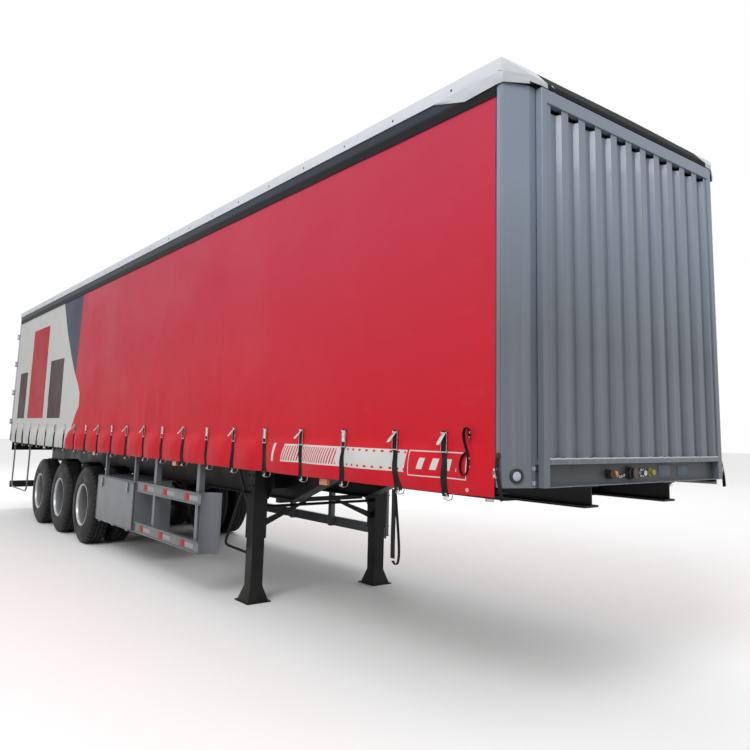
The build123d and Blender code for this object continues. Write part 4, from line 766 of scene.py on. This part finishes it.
def cloth_out(x, z):
    """How far the curtain stands out from its plane."""
    def grain(along, up, seed):
        return noise.noise(Vector((along, up, seed)))

    nearest = min(strap_places, key=lambda place: abs(place - x))
    before = [place for place in strap_places if place >= x]
    behind = [place for place in strap_places if place < x]
    if before and behind:
        swell = math.sin(math.pi * (x - behind[0]) / (before[-1] - behind[0])) ** 0.8
    else:
        swell = 0.6 * math.sin(math.pi * min(1.0, abs(x - nearest) / 0.42))
    hem = max(0.0, 1 - ((z - 1.435) / 0.17) ** 2)
    belly = 0.052 * swell * hem * (0.85 + 0.3 * grain(nearest * 3.7, 0, 5))
    gap = x - nearest
    below = max(0.0, 1.66 - z)
    spread = math.cos(8.5 * gap / (0.12 + 0.9 * below)) * math.exp(-((gap / 0.16) ** 2))
    fan = 0.0045 * spread * min(1.0, below / 0.1)
    pinch = 0.007 * math.exp(-((gap / 0.035) ** 2)) * min(1.0, below / 0.12)
    broad = 0.0045 * grain(x * 0.55, z * 0.8, 2.0) + 0.0022 * grain(x * 1.7, z * 1.5, 9)
    ridge = 1 - abs(grain(x * 0.9 + z * 0.5, z * 1.1 - x * 0.35, 6.0)) * 9
    crease = 0.0026 * max(0.0, ridge)
    pull = 0.004 * grain(x * 6.0, z * 0.7, 12) * max(0.0, 1 - abs(z - 1.8) / 0.5)
    corner = 0.010 * max(0.0, (x - 6.45) / 0.19) * max(0.0, (1.55 - z) / 0.24)
    held = min(1.0, max(0.0, (3.70 - z) / 0.16))
    out = belly + fan - pinch + (broad + crease + pull) * held + corner
    most = 0.0035 if x < door_reach else 0.058
    return min(most, max(-0.0055, out))


red_cloth, at = begin_finish("red_cloth")
x, y, z = at.axes()
# columns: height, where the white print ends
edge_places = (
    (1.325, -2.514), (1.394, -2.435), (1.66, -2.224), (1.843, -2.04), (1.958, -1.909), (2.166, -1.93),
    (2.286, -2.05), (2.461, -2.275), (2.718, -2.532), (3.037, -2.817), (3.367, -3.066), (3.703, -3.274),
)
ramp_low, ramp_height, edge_low, edge_spread = 1.3, 2.5, -3.4, 1.6
stops = [
    ((height - ramp_low) / ramp_height, ((place - edge_low) / edge_spread,) * 3)
    for height, place in edge_places
]
edge_ramp = at.make("ValToRGB", {"stops": stops}, {0: (z - ramp_low) / ramp_height})
print_edge = edge_ramp * edge_spread + edge_low
white_print = x < print_edge
navy_print = x.within(print_edge, z.ramp(2.447, 3.703, -2.227, -2.138)) * (z > 2.42)
bars_red = x.within(-5.35, -4.15) * z.within(1.78, 3.42) * white_print
low_bar = x.within(-6.25, -5.62) * z.within(1.78, 2.66)
bars_dark = (low_bar + x.within(-3.86, -2.98) * z.within(1.78, 2.76)) * white_print
band = (x - (z - 1.418) * 0.22).within(4.287, 5.850) * z.within(1.416, 1.558)
slanted = x - z * 0.34
hatch = ((slanted % 0.031) < 0.0135) * (x < 5.055) * z.within(1.428, 1.545)
tick_rows = z.within(1.535, 1.549) + z.within(1.427, 1.441)
ticks = (((x - 0.02) % 0.082) < 0.026) * (x > 5.07) * tick_rows
bar = (x - (z - 1.412) * 0.1).within(4.128, 4.166) * z.within(1.412, 1.560)
panel_inside = x.within(5.907, 6.418) * z.within(1.407, 1.553)
panel = x.within(5.90, 6.425) * z.within(1.400, 1.560) * (1.0 - panel_inside)
slats = x.within(5.99, 6.33) * z.within(1.445, 1.515) * ((slanted % 0.11) < 0.05)
paper = white_print + band * (1.0 - hatch) * (1.0 - ticks) + bar + panel + slats
haze = at.noise(0.5, 3)
dyed = haze.mix((0.500, 0.0085, 0.018), (0.555, 0.012, 0.024))
# Painted sheen: the red turns paler and pinker towards the top, standing in for the sky's reflection on the
# coated cloth.
painted_sky_sheen = haze.mix((0.450, 0.036, 0.068), (0.510, 0.044, 0.080))
red_with_painted_sheen = z.ramp(1.6, 3.6).mix(dyed, painted_sky_sheen)
# Painted highlights: pale pink patches at random over the red, standing in for sheen on the creased cloth.
painted_sheen_patches = at.stretched(2, 2, 5).noise(1.6, 7).ramp(0.60, 0.78) * 0.21
red_with_sheen_patches = painted_sheen_patches.mix(red_with_painted_sheen, (0.50, 0.075, 0.10))
white_ink = at.noise(2.5, 4).mix((0.53, 0.53, 0.52), (0.60, 0.60, 0.59))
inked = paper.math("MINIMUM", paper, 1.0).mix(red_with_sheen_patches, white_ink)
inked = navy_print.mix(inked, (0.060, 0.064, 0.100))
inked = bars_red.mix(inked, (0.40, 0.014, 0.024))
inked = bars_dark.mix(inked, (0.055, 0.030, 0.034))
scrim = (x * 1300.0).sine() * (z * 1300.0).sine()
surface = at.noise(3.5, 5) * 0.6 + scrim * 0.03
gloss = at.noise(1.2, 4).ramp(0.3, 0.7, 0.42, 0.58)
end_finish(at, inked, gloss, surface.bump(0.25, 0.004), Specular_IOR_Level=0.12)
lining, at = begin_finish("curtain_lining")
worn = at.noise(1.4, 5).mix((0.36, 0.355, 0.345), (0.45, 0.445, 0.435))
end_finish(at, worn, at.noise(3).ramp(0.3, 0.7, 0.5, 0.65), at.noise(3.5, 5).bump(0.2, 0.003))
for side, hand in hands:
    def curtain_point(along, across, side=side):
        x = curtain_rear + (curtain_front - curtain_rear) * along
        z = hem_bottom + (curtain_top - hem_bottom) * ((across + 1) / 2) ** 1.5
        hem_wave = 0.006 * noise.noise(Vector((x * 1.9, 0, 8))) * (across < -0.99)
        return Vector((x, side * (curtain_plane + cloth_out(x, z)), z + hem_wave))
    curtain = as_cloth(sheeted(440, 72, curtain_point), 0.0016)
    settle(curtain, f"curtain_cloth_{hand}", "curtain_red", red_cloth, f"curtain_{hand}")
    curtain.data.materials.append(lining)
    for face in curtain.data.polygons:
        face.material_index = int(face.normal.y * side < -0.3)


# The tension straps: black woven webbing sewn to the curtain, each through an over-centre buckle of
# plated steel whose lever has a white tip, and hooked with a bent wire under the side rail. A long
# end hangs from the second strap on the right, and a spare one is looped up near the front corner.
def twin_of(piece, placement):
    """A copy of a piece with its placement in the mesh, kept the right way out where it is mirrored."""
    twin = piece.copy()
    twin.data = piece.data.copy()
    scene.collection.objects.link(twin)
    twin.data.transform(placement)
    if placement.determinant() < 0:
        twin.data.flip_normals()
    return twin


buckle_z, hook_z = 1.6125, 1.296
strap_top, strap_drop, strap_steps = 1.556, 0.262, 7


def placed(piece, x, side, swing=Matrix()):
    """A copy of a buckle's piece at a strap's place, turned over for the other side."""
    start = (x, side * (curtain_plane + cloth_out(x, buckle_z) + 0.001), buckle_z)
    return twin_of(piece, Matrix.Translation(start) @ Matrix.Diagonal((1, side, 1, 1)) @ swing)


backing = block((-0.025, 0.0, -0.072), (0.025, 0.002, 0.072), 0.0008)
buckle = joined([
    block((-0.026, 0.0015, -0.064), (-0.0235, 0.0135, 0.07), 0.0008),
    block((0.0235, 0.0015, -0.064), (0.026, 0.0135, 0.07), 0.0008),
    cross_pin(0.026, 0.0042, (0, 0.0085, 0.060)),
    cross_pin(0.026, 0.0042, (0, 0.0085, -0.056)),
])
loop_line = [
    (0, 0.003, 0.062), (0, 0.0105, 0.056), (0, 0.0115, 0.01), (0, 0.0105, -0.05), (0, 0.004, -0.062),
]
loop = ribbon(loop_line, 0.044, (1, 0, 0), 0.002)
lever = joined([
    block((-0.017, 0.0, -0.078), (0.017, 0.0022, 0.004), 0.0008),
    cross_pin(0.02, 0.004, (0, 0.001, 0.0)),
])
tip = block((-0.012, -0.0006, -0.088), (0.012, 0.0028, -0.072), 0.0012)
hook_bend = [
    (0, 0.003, 0.0), (0, 0.004, -0.014), (0, -0.004, -0.026), (0, -0.03, -0.027), (0, -0.054, -0.02),
    (0, -0.057, 0.03),
]
hook_spring = [
    (-0.018, 0.004, -0.010), (-0.006, 0.010, -0.022), (0.014, 0.010, -0.016), (0.024, 0.006, -0.004),
]
hook = joined([
    wire(hook_bend, 0.0032),
    wire(hook_spring, 0.003),
    ring(0.011, 0.003, (0, 0.004, 0.004), (math.pi / 2, 0, 0), 20),
])
# which levers stand open, and how far in radians
opened = {0: 0.62, 1: 0.72, 3: 0.70, 5: 0.66, 7: 0.74, 9: 0.6, 10: 0.7, 12: 0.66, 14: 0.72, 16: 0.64}
tip_white = moulded("tip_white", (0.62, 0.61, 0.58), (0.76, 0.75, 0.72), 0.4)
long_tail = [(5.735, -1.2545, 1.30), (5.737, -1.2535, 1.15), (5.731, -1.2525, 1.0), (5.733, -1.2525, 0.86)]
curl = [
    (5.752, -1.2555, 1.30), (5.775, -1.2555, 1.13), (5.798, -1.2545, 0.97), (5.802, -1.2535, 0.88),
    (5.785, -1.2525, 0.825), (5.755, -1.2515, 0.822), (5.735, -1.2515, 0.845),
]
# columns: x, z
spare = (
    (6.444, 1.640), (6.447, 1.680), (6.430, 1.712), (6.404, 1.700), (6.396, 1.655), (6.410, 1.612),
    (6.432, 1.570), (6.446, 1.525), (6.448, 1.475), (6.436, 1.432), (6.404, 1.424), (6.378, 1.455),
    (6.378, 1.505), (6.398, 1.548), (6.424, 1.562),
)
spare_clips = ((6.446, 1.650), (6.449, 1.678), (6.448, 1.528), (6.450, 1.480))
for side, hand in hands:
    metal, cloths, tips, hooks = [], [], [], []
    for index, x in enumerate(strap_places):
        lean = 0.10 * math.sin(index * 2.3) + 0.05
        metal.append(placed(buckle, x, side))
        cloths.append(placed(loop, x, side))
        cloths.append(placed(backing, x, side))
        swing = Matrix.Translation((0, 0.011, 0.058)) @ Matrix.Rotation(opened.get(index, 0.0), 4, "X")
        metal.append(placed(lever, x, side, swing))
        if index in opened:
            tips.append(placed(tip, x, side, swing))
        points = []
        for step in range(strap_steps + 1):
            z = strap_top - strap_drop * step / strap_steps
            slack = lean * (strap_top - z) + 0.008 * math.sin(step * 1.1 + index)
            depth = cloth_out(x, max(z, 1.33)) + 0.0045 + 0.009 * min(1.0, step / 3)
            points.append((x + slack, side * (curtain_plane + depth), z))
        cloths.append(ribbon(points, 0.046, (1, -side * 0.42, -lean)))
        if index % 3 == 1:
            loose = []
            for step, (a, b, c) in enumerate(points):
                loose.append((a + 0.012 * step * step / 14, b + side * (0.0035 + 0.0004 * step), c + 0.006))
            cloths.append(ribbon(loose, 0.034, (1, 0, -lean)))
        hook_place = Matrix.Translation((points[-1][0], side * (curtain_plane + 0.0045), hook_z))
        hooks.append(twin_of(hook, hook_place @ Matrix.Diagonal((1, side, 1, 1))))
    if side < 0:
        cloths.append(ribbon(long_tail, 0.040, (1, 0, 0), 0.005))
        cloths.append(ribbon(curl, 0.018, (0.25, 1, 0), 0.002))
        looped = [(a, -1.2695 - cloth_out(a, b) * 0.3, b) for a, b in spare]
        cloths.append(ribbon(looped, 0.022, (0, 1, 0), 0.003))
        for a, b in spare_clips:
            metal.append(block((a - 0.002, -1.275, b - 0.006), (a + 0.006, -1.263, b + 0.006), 0.0015))
    settle(cloths, f"webbing_{hand}", "strap_black", webbing_black, f"straps_{hand}")
    settle(metal, f"buckles_{hand}", "bare_steel", chrome)
    settle(tips, f"lever_tips_{hand}", "lamp_white", tip_white)
    settle(hooks, f"strap_hooks_{hand}", "bare_steel", chrome)
for part in (backing, buckle, loop, lever, tip, hook):
    bpy.data.objects.remove(part)
eyelets = []
eyelet_x, eyelet_z = 6.43, 1.347
eyelet_profile = [(0, 0.012), (0.002, 0.011), (0.002, 0.007), (0, 0.006)]
for side in (-1, 1):
    out = curtain_plane + cloth_out(eyelet_x, eyelet_z) + 0.0012
    eyelets.append(spun(eyelet_profile, (eyelet_x, side * out, eyelet_z), (0, side, 0), 20, True))
settle(eyelets, "curtain_eyelets", "bare_steel", chrome)

# The side guards, the bent tubes and the toolbox: folded channel rails on posts under the side rail,
# a round bar each side behind the wheels, and a sheet steel box with a drop lid, in grey enamel. Red
# and white reflective tape is stuck on the rails, and each latch of the lid has a pull ring.
guard_enamel, at = begin_finish("guard_enamel")
splash = at.noise(4, 6).ramp(0.45, 0.85) * at.axes()[2].ramp(1.0, 0.4, 0.1, 0.4)
coat = at.noise(1.5, 3).mix((0.108, 0.118, 0.132), (0.132, 0.143, 0.158))
peel = at.noise(70, 2).bump(0.05, 0.002)
end_finish(at, splash.mix(coat, (0.105, 0.10, 0.095)), splash.ramp(0, 1, 0.3, 0.62), peel)
paint(guard_enamel, "side_guard_right", "side_guard_left", "toolbox", "toolbox_lid")
soften(0.003, "side_guard_right", "side_guard_left", "toolbox_lid")


def bent(points, bend, radius):
    """A straight round bar bent at its corners."""
    line = [Vector(points[0])]
    for before, corner, after in zip(points, points[1:], points[2:]):
        for end in (before, after):
            away = Vector(end) - Vector(corner)
            line.append(Vector(corner) + away.normalized() * min(2 * bend, away.length / 2))
        line.insert(-1, Vector(corner))
    return wire(line + [Vector(points[-1])], radius, 8)


# columns: x, z
tube_line = ((-6.45, 1.342), (-6.45, 0.45), (-5.15, 0.45), (-5.15, 1.342))
tubes = [bent([(x, side * 1.19, z) for x, z in tube_line], 0.14, 0.014) for side in (-1, 1)]
settle(tubes, "bent_tubes", "guard_grey", guard_enamel, "guard_tubes")


def tape(name, dark, pale):
    """Reflective tape with small cells."""
    finish, at = begin_finish(name)
    cells = at.make("TexVoronoi", {}, {"Vector": at, "Scale": 320.0})
    colour = cells.ramp(0, 0.7).mix(pale, dark)
    end_finish(at, colour, 0.4, cells.bump(0.2, 0.0005), Specular_IOR_Level=0.2)
    return finish


red_tape = tape("red_tape", (0.34, 0.008, 0.007), (0.50, 0.016, 0.012))
white_tape = tape("white_tape", (0.26, 0.27, 0.28), (0.40, 0.41, 0.42))
guard_face, rail_front = 1.2002, 2.58
lip_inner, lip_outer, lip_height = 1.1955, 1.2145, 0.013
reds, whites, lips = [], [], []
# columns: side, rear end, how many red pieces
for side, start, count in ((-1, 0.75, 3), (1, -0.78, 5)):
    pitch = (rail_front - start) / count
    face = side * guard_face
    # columns: rail's middle, where in its pitch a red piece sits
    for middle, share in ((0.49, 0.34), (0.96, 0.42)):
        for low in (middle - 0.0595, middle + 0.0465):
            lips.append(block(
                (start + 0.002, side * lip_inner, low),
                (rail_front - 0.002, side * lip_outer, low + lip_height),
            ))
        for step in range(count):
            x = start + pitch * (step + share) - 0.06
            red_end = (x + 0.12, face + side * 0.0012, middle + 0.034)
            reds.append(block((x, face, middle - 0.034), red_end, 0.0005))
            white_end = (x + 0.34, face + side * 0.001, middle + 0.022)
            whites.append(block((x + 0.13, face, middle - 0.026), white_end, 0.0004))
for step in range(12):
    group = reds if step % 2 else whites
    y = -1.1 + 0.2 * step
    group.append(block((-6.7415, y - 0.045, 0.45), (-6.7402, y + 0.045, 0.51), 0.0004))
settle(reds, "tape_red", "lamp_red", red_tape)
settle(whites, "tape_white", "lamp_white", white_tape)
settle(lips, "guard_lips", "guard_grey", guard_enamel)
latches = []
for x in (-0.56, 0.45):
    staple = [(x, -1.231, 0.935), (x, -1.239, 0.937), (x, -1.239, 0.930), (x, -1.231, 0.928)]
    latches.append(block((x - 0.017, -1.2325, 0.875), (x + 0.017, -1.2285, 0.975), 0.001))
    latches.append(ring(0.02, 0.003, (x, -1.2345, 0.915), (math.pi / 2 - 0.12, 0, 0), 24))
    latches.append(wire(staple, 0.0025))
settle(latches, "lid_latches", "bare_steel", zinc, body="toolbox_lid")
# columns: low x, high x, low z, high z
fold_places = (
    (-0.766, 0.656, 0.978, 0.996), (-0.766, 0.656, 0.433, 0.451), (-0.766, -0.748, 0.44, 0.99),
    (0.638, 0.656, 0.44, 0.99),
)
folds = []
for low_x, high_x, low_z, high_z in fold_places:
    folds.append(block((low_x, -1.2195, low_z), (high_x, -1.2165, high_z), 0.0012))
settle(folds, "lid_folds", "guard_grey", guard_enamel, body="toolbox_lid")

# The landing gear's fastenings and crank: bolts through the leg brackets, and a bent bar on the right
# leg's shaft, whose grip is tucked against the leg.
crank_line = [(2.89, -0.826, 1.045), (2.89, -0.913, 1.045), (2.57, -0.913, 0.507), (2.842, -0.773, 0.44)]
settle(bent(crank_line, 0.06, 0.013), "crank_bar", "chassis_black", chassis_paint, "landing_crank")
leg_face = 0.828
heads = []
for side in (-1, 1):
    for x in (2.872, 2.968):
        for z in (1.11, 1.21, 1.31):
            heads.append(bolt((x, side * leg_face, z), (0, side, 0), 0.010))
    for x in (2.88, 2.96):
        heads.append(bolt((x, side * leg_face, 0.66), (0, side, 0), 0.008))
settle(heads, "leg_bolts", "chassis_black", chassis_paint)

# The wheels: twin tyres on two steel rims bolted back to back to one hub with its drum. The tyres
# have ribbed treads with cut shoulders, the rims are silver with hand holes and their insides are
# painted dark as shade, darkest at the disc, and the hub is black.
tyre_rubber, at = begin_finish("tyre_rubber")
road = at.noise(7, 6).ramp(0.4, 0.75)
rubber = road.mix((0.006, 0.006, 0.0065), (0.018, 0.0175, 0.017))
grain = at.noise(190, 3).bump(0.2, 0.001)
end_finish(at, rubber, road.ramp(0, 1, 0.5, 0.82), grain, Specular_IOR_Level=0.3)
rim_silver, at = begin_finish("rim_silver")
brake = at.noise(11, 5).ramp(0.4, 0.8) * 0.5
depth = at.axes()[1].absolute()
# Painted shade: the rim's inside darkens from near the flange in to the disc, where the rim shades itself.
dish_painted_shade = depth.ramp(0.92, 1.16).mix((0.045, 0.047, 0.050), (0.25, 0.256, 0.27))
silver = depth.ramp(1.168, 1.182).mix(dish_painted_shade, (0.62, 0.63, 0.66))
sprayed = brake.mix(silver, (0.12, 0.115, 0.11))
end_finish(at, sprayed, brake.ramp(0, 1, 0.28, 0.6), at.noise(90, 2).bump(0.06, 0.001), 0.35)
hub_black = moulded("hub_black", (0.006, 0.006, 0.006), (0.020, 0.019, 0.018), 0.35)
first_axle, axle_pitch, axle_count, axle_height = -1.53, 1.31, 3, 0.54
tyre_width, outer_tyre, inner_tyre = 0.3, 0.91, 0.565
disc_middle, nut_circle = 0.8875, 0.1675
tyre_steps, rim_steps = 120, 80
sideways = (0, 1, 0)


def pick_faces(piece, chosen):
    """Opens a piece for editing, with those faces chosen whose middles pass a test."""
    picked(piece)
    bpy.ops.object.mode_set(mode="EDIT")
    bpy.ops.mesh.select_mode(type="FACE")
    bpy.ops.mesh.select_all(action="DESELECT")
    form = bmesh.from_edit_mesh(piece.data)
    for face in form.faces:
        face.select_set(chosen(face.calc_center_median()))
    bmesh.update_edit_mesh(piece.data)


def step_at(middle, steps):
    """Which step of a turned piece a point lies in."""
    return int((math.atan2(middle.z, middle.x) / (2 * math.pi) + 0.5) * steps)


half_tyre = [
    (0.036, 0.2862), (0.020, 0.290), (0.009, 0.300), (0.004, 0.322), (0.001, 0.334), (0.003, 0.338),
    (0.0, 0.372), (0.003, 0.410), (0.010, 0.448), (0.012, 0.4495), (0.013, 0.456), (0.024, 0.488),
    (0.036, 0.513), (0.044, 0.527), (0.052, 0.5355), (0.066, 0.5385), (0.094, 0.5395), (0.095, 0.5265),
    (0.104, 0.5265), (0.105, 0.5398), (0.139, 0.540), (0.140, 0.5265), (0.150, 0.5265),
]
other_half = [(tyre_width - along, radius) for along, radius in reversed(half_tyre[:-1])]
tyre = spun(half_tyre + other_half, (0, 0, 0), sideways, tyre_steps)


def shoulder_cut(middle):
    shoulder = min(middle.y, tyre_width - middle.y)
    return 0.037 < shoulder < 0.09 and step_at(middle, tyre_steps) % 3 == 0


pick_faces(tyre, shoulder_cut)
bpy.ops.mesh.inset(thickness=0.0012, depth=-0.009)
bpy.ops.object.mode_set(mode="OBJECT")
# columns: distance from the trailer's middle, radius
rim_profile = [
    (1.150, 0.2840), (1.186, 0.2842), (1.191, 0.2915), (1.1945, 0.2905), (1.1945, 0.283),
    (1.186, 0.2765), (1.160, 0.2705), (1.100, 0.2660), (1.000, 0.2630), (0.950, 0.2590),
    (0.922, 0.2500), (0.9085, 0.2360), (0.9055, 0.2200), (0.9055, 0.1860), (0.9055, 0.1300),
]
rim_profile = [(along - disc_middle, radius) for along, radius in rim_profile]
rim = spun(rim_profile, (0, 0, 0), sideways, rim_steps)


def hand_hole(middle):
    reach = math.hypot(middle.x, middle.z)
    return 0.19 < reach < 0.215 and middle.y < 0.03 and step_at(middle, rim_steps) % 8 < 4


pick_faces(rim, hand_hole)
bpy.ops.mesh.delete(type="FACE")
bpy.ops.object.mode_set(mode="OBJECT")
thickened(rim, 0.008)
# columns: distance from the trailer's middle, radius
hub_profile = [
    (0.624, 0.0455), (0.624, 0.204), (0.632, 0.2085), (0.850, 0.2085), (0.862, 0.200), (0.868, 0.150),
    (0.905, 0.146), (0.928, 0.143), (0.936, 0.128), (0.990, 0.119), (1.035, 0.098), (1.046, 0.080),
    (1.050, 0.075), (1.078, 0.0735), (1.086, 0.066), (1.088, 0.0),
]
hub_profile = [(along - disc_middle, radius) for along, radius in hub_profile]
hub = spun(hub_profile, (0, 0, 0), sideways, 48)
stud_profile = [(0, 0.010), (0.026, 0.010), (0.028, 0.008), (0.028, 0)]
nuts = []
for index in range(10):
    turn = math.radians(36 * index + 18)
    place = (nut_circle * math.cos(turn), 0.0225, nut_circle * math.sin(turn))
    nuts.append(bolt(place, sideways, 0.0165))
    nuts.append(spun(stud_profile, place, sideways, 12))
nuts = joined(nuts)


def stationed(piece, x, side, y=disc_middle, mirror=1):
    """A copy of a wheel's piece on its axle, y out from the middle."""
    turn = Matrix.Diagonal((1, side * mirror, 1, 1))
    return twin_of(piece, Matrix.Translation((x, side * y, axle_height)) @ turn)


for side, hand in hands:
    for axle in range(axle_count):
        x = first_axle - axle_pitch * axle
        station = f"{hand}_{axle + 1}"
        wheel = f"wheels_{station}"
        pair = [stationed(tyre, x, side, outer_tyre), stationed(tyre, x, side, inner_tyre)]
        settle(pair, f"tyre_pair_{station}", "tyre", tyre_rubber, f"tyres_{station}", body=wheel)
        rims = [stationed(rim, x, side), stationed(rim, x, side, mirror=-1)]
        settle(rims, f"rim_pair_{station}", "rim_silver", rim_silver, f"rims_{station}", body=wheel)
        settle(stationed(hub, x, side), f"hub_{station}", "chassis_black", hub_black, body=wheel)
        settle(stationed(nuts, x, side), f"wheel_nuts_{station}", "bare_steel", zinc, body=wheel)
for part in (tyre, rim, hub, nuts):
    bpy.data.objects.remove(part)

# The suspension's clamps: pairs of threaded bars bent over each leaf spring and nutted under its
# axle seat, and amber side marker lamps on brackets under the side rails.
spring_y = 0.45
# columns: across the spring, z
clamp_bend = (
    (-0.056, 0.585), (-0.056, 0.70), (-0.054, 0.734), (0, 0.736), (0.054, 0.734), (0.056, 0.70),
    (0.056, 0.585),
)
clamps = []
for side in (-1, 1):
    for axle in range(axle_count):
        for step in (-0.055, 0.055):
            x = first_axle - axle_pitch * axle + step
            clamps.append(wire([(x, side * spring_y + across, z) for across, z in clamp_bend], 0.009, 6))
settle(clamps, "spring_clamps", "chassis_black", chassis_paint)
paint(amber_lens, "marker_lamps")
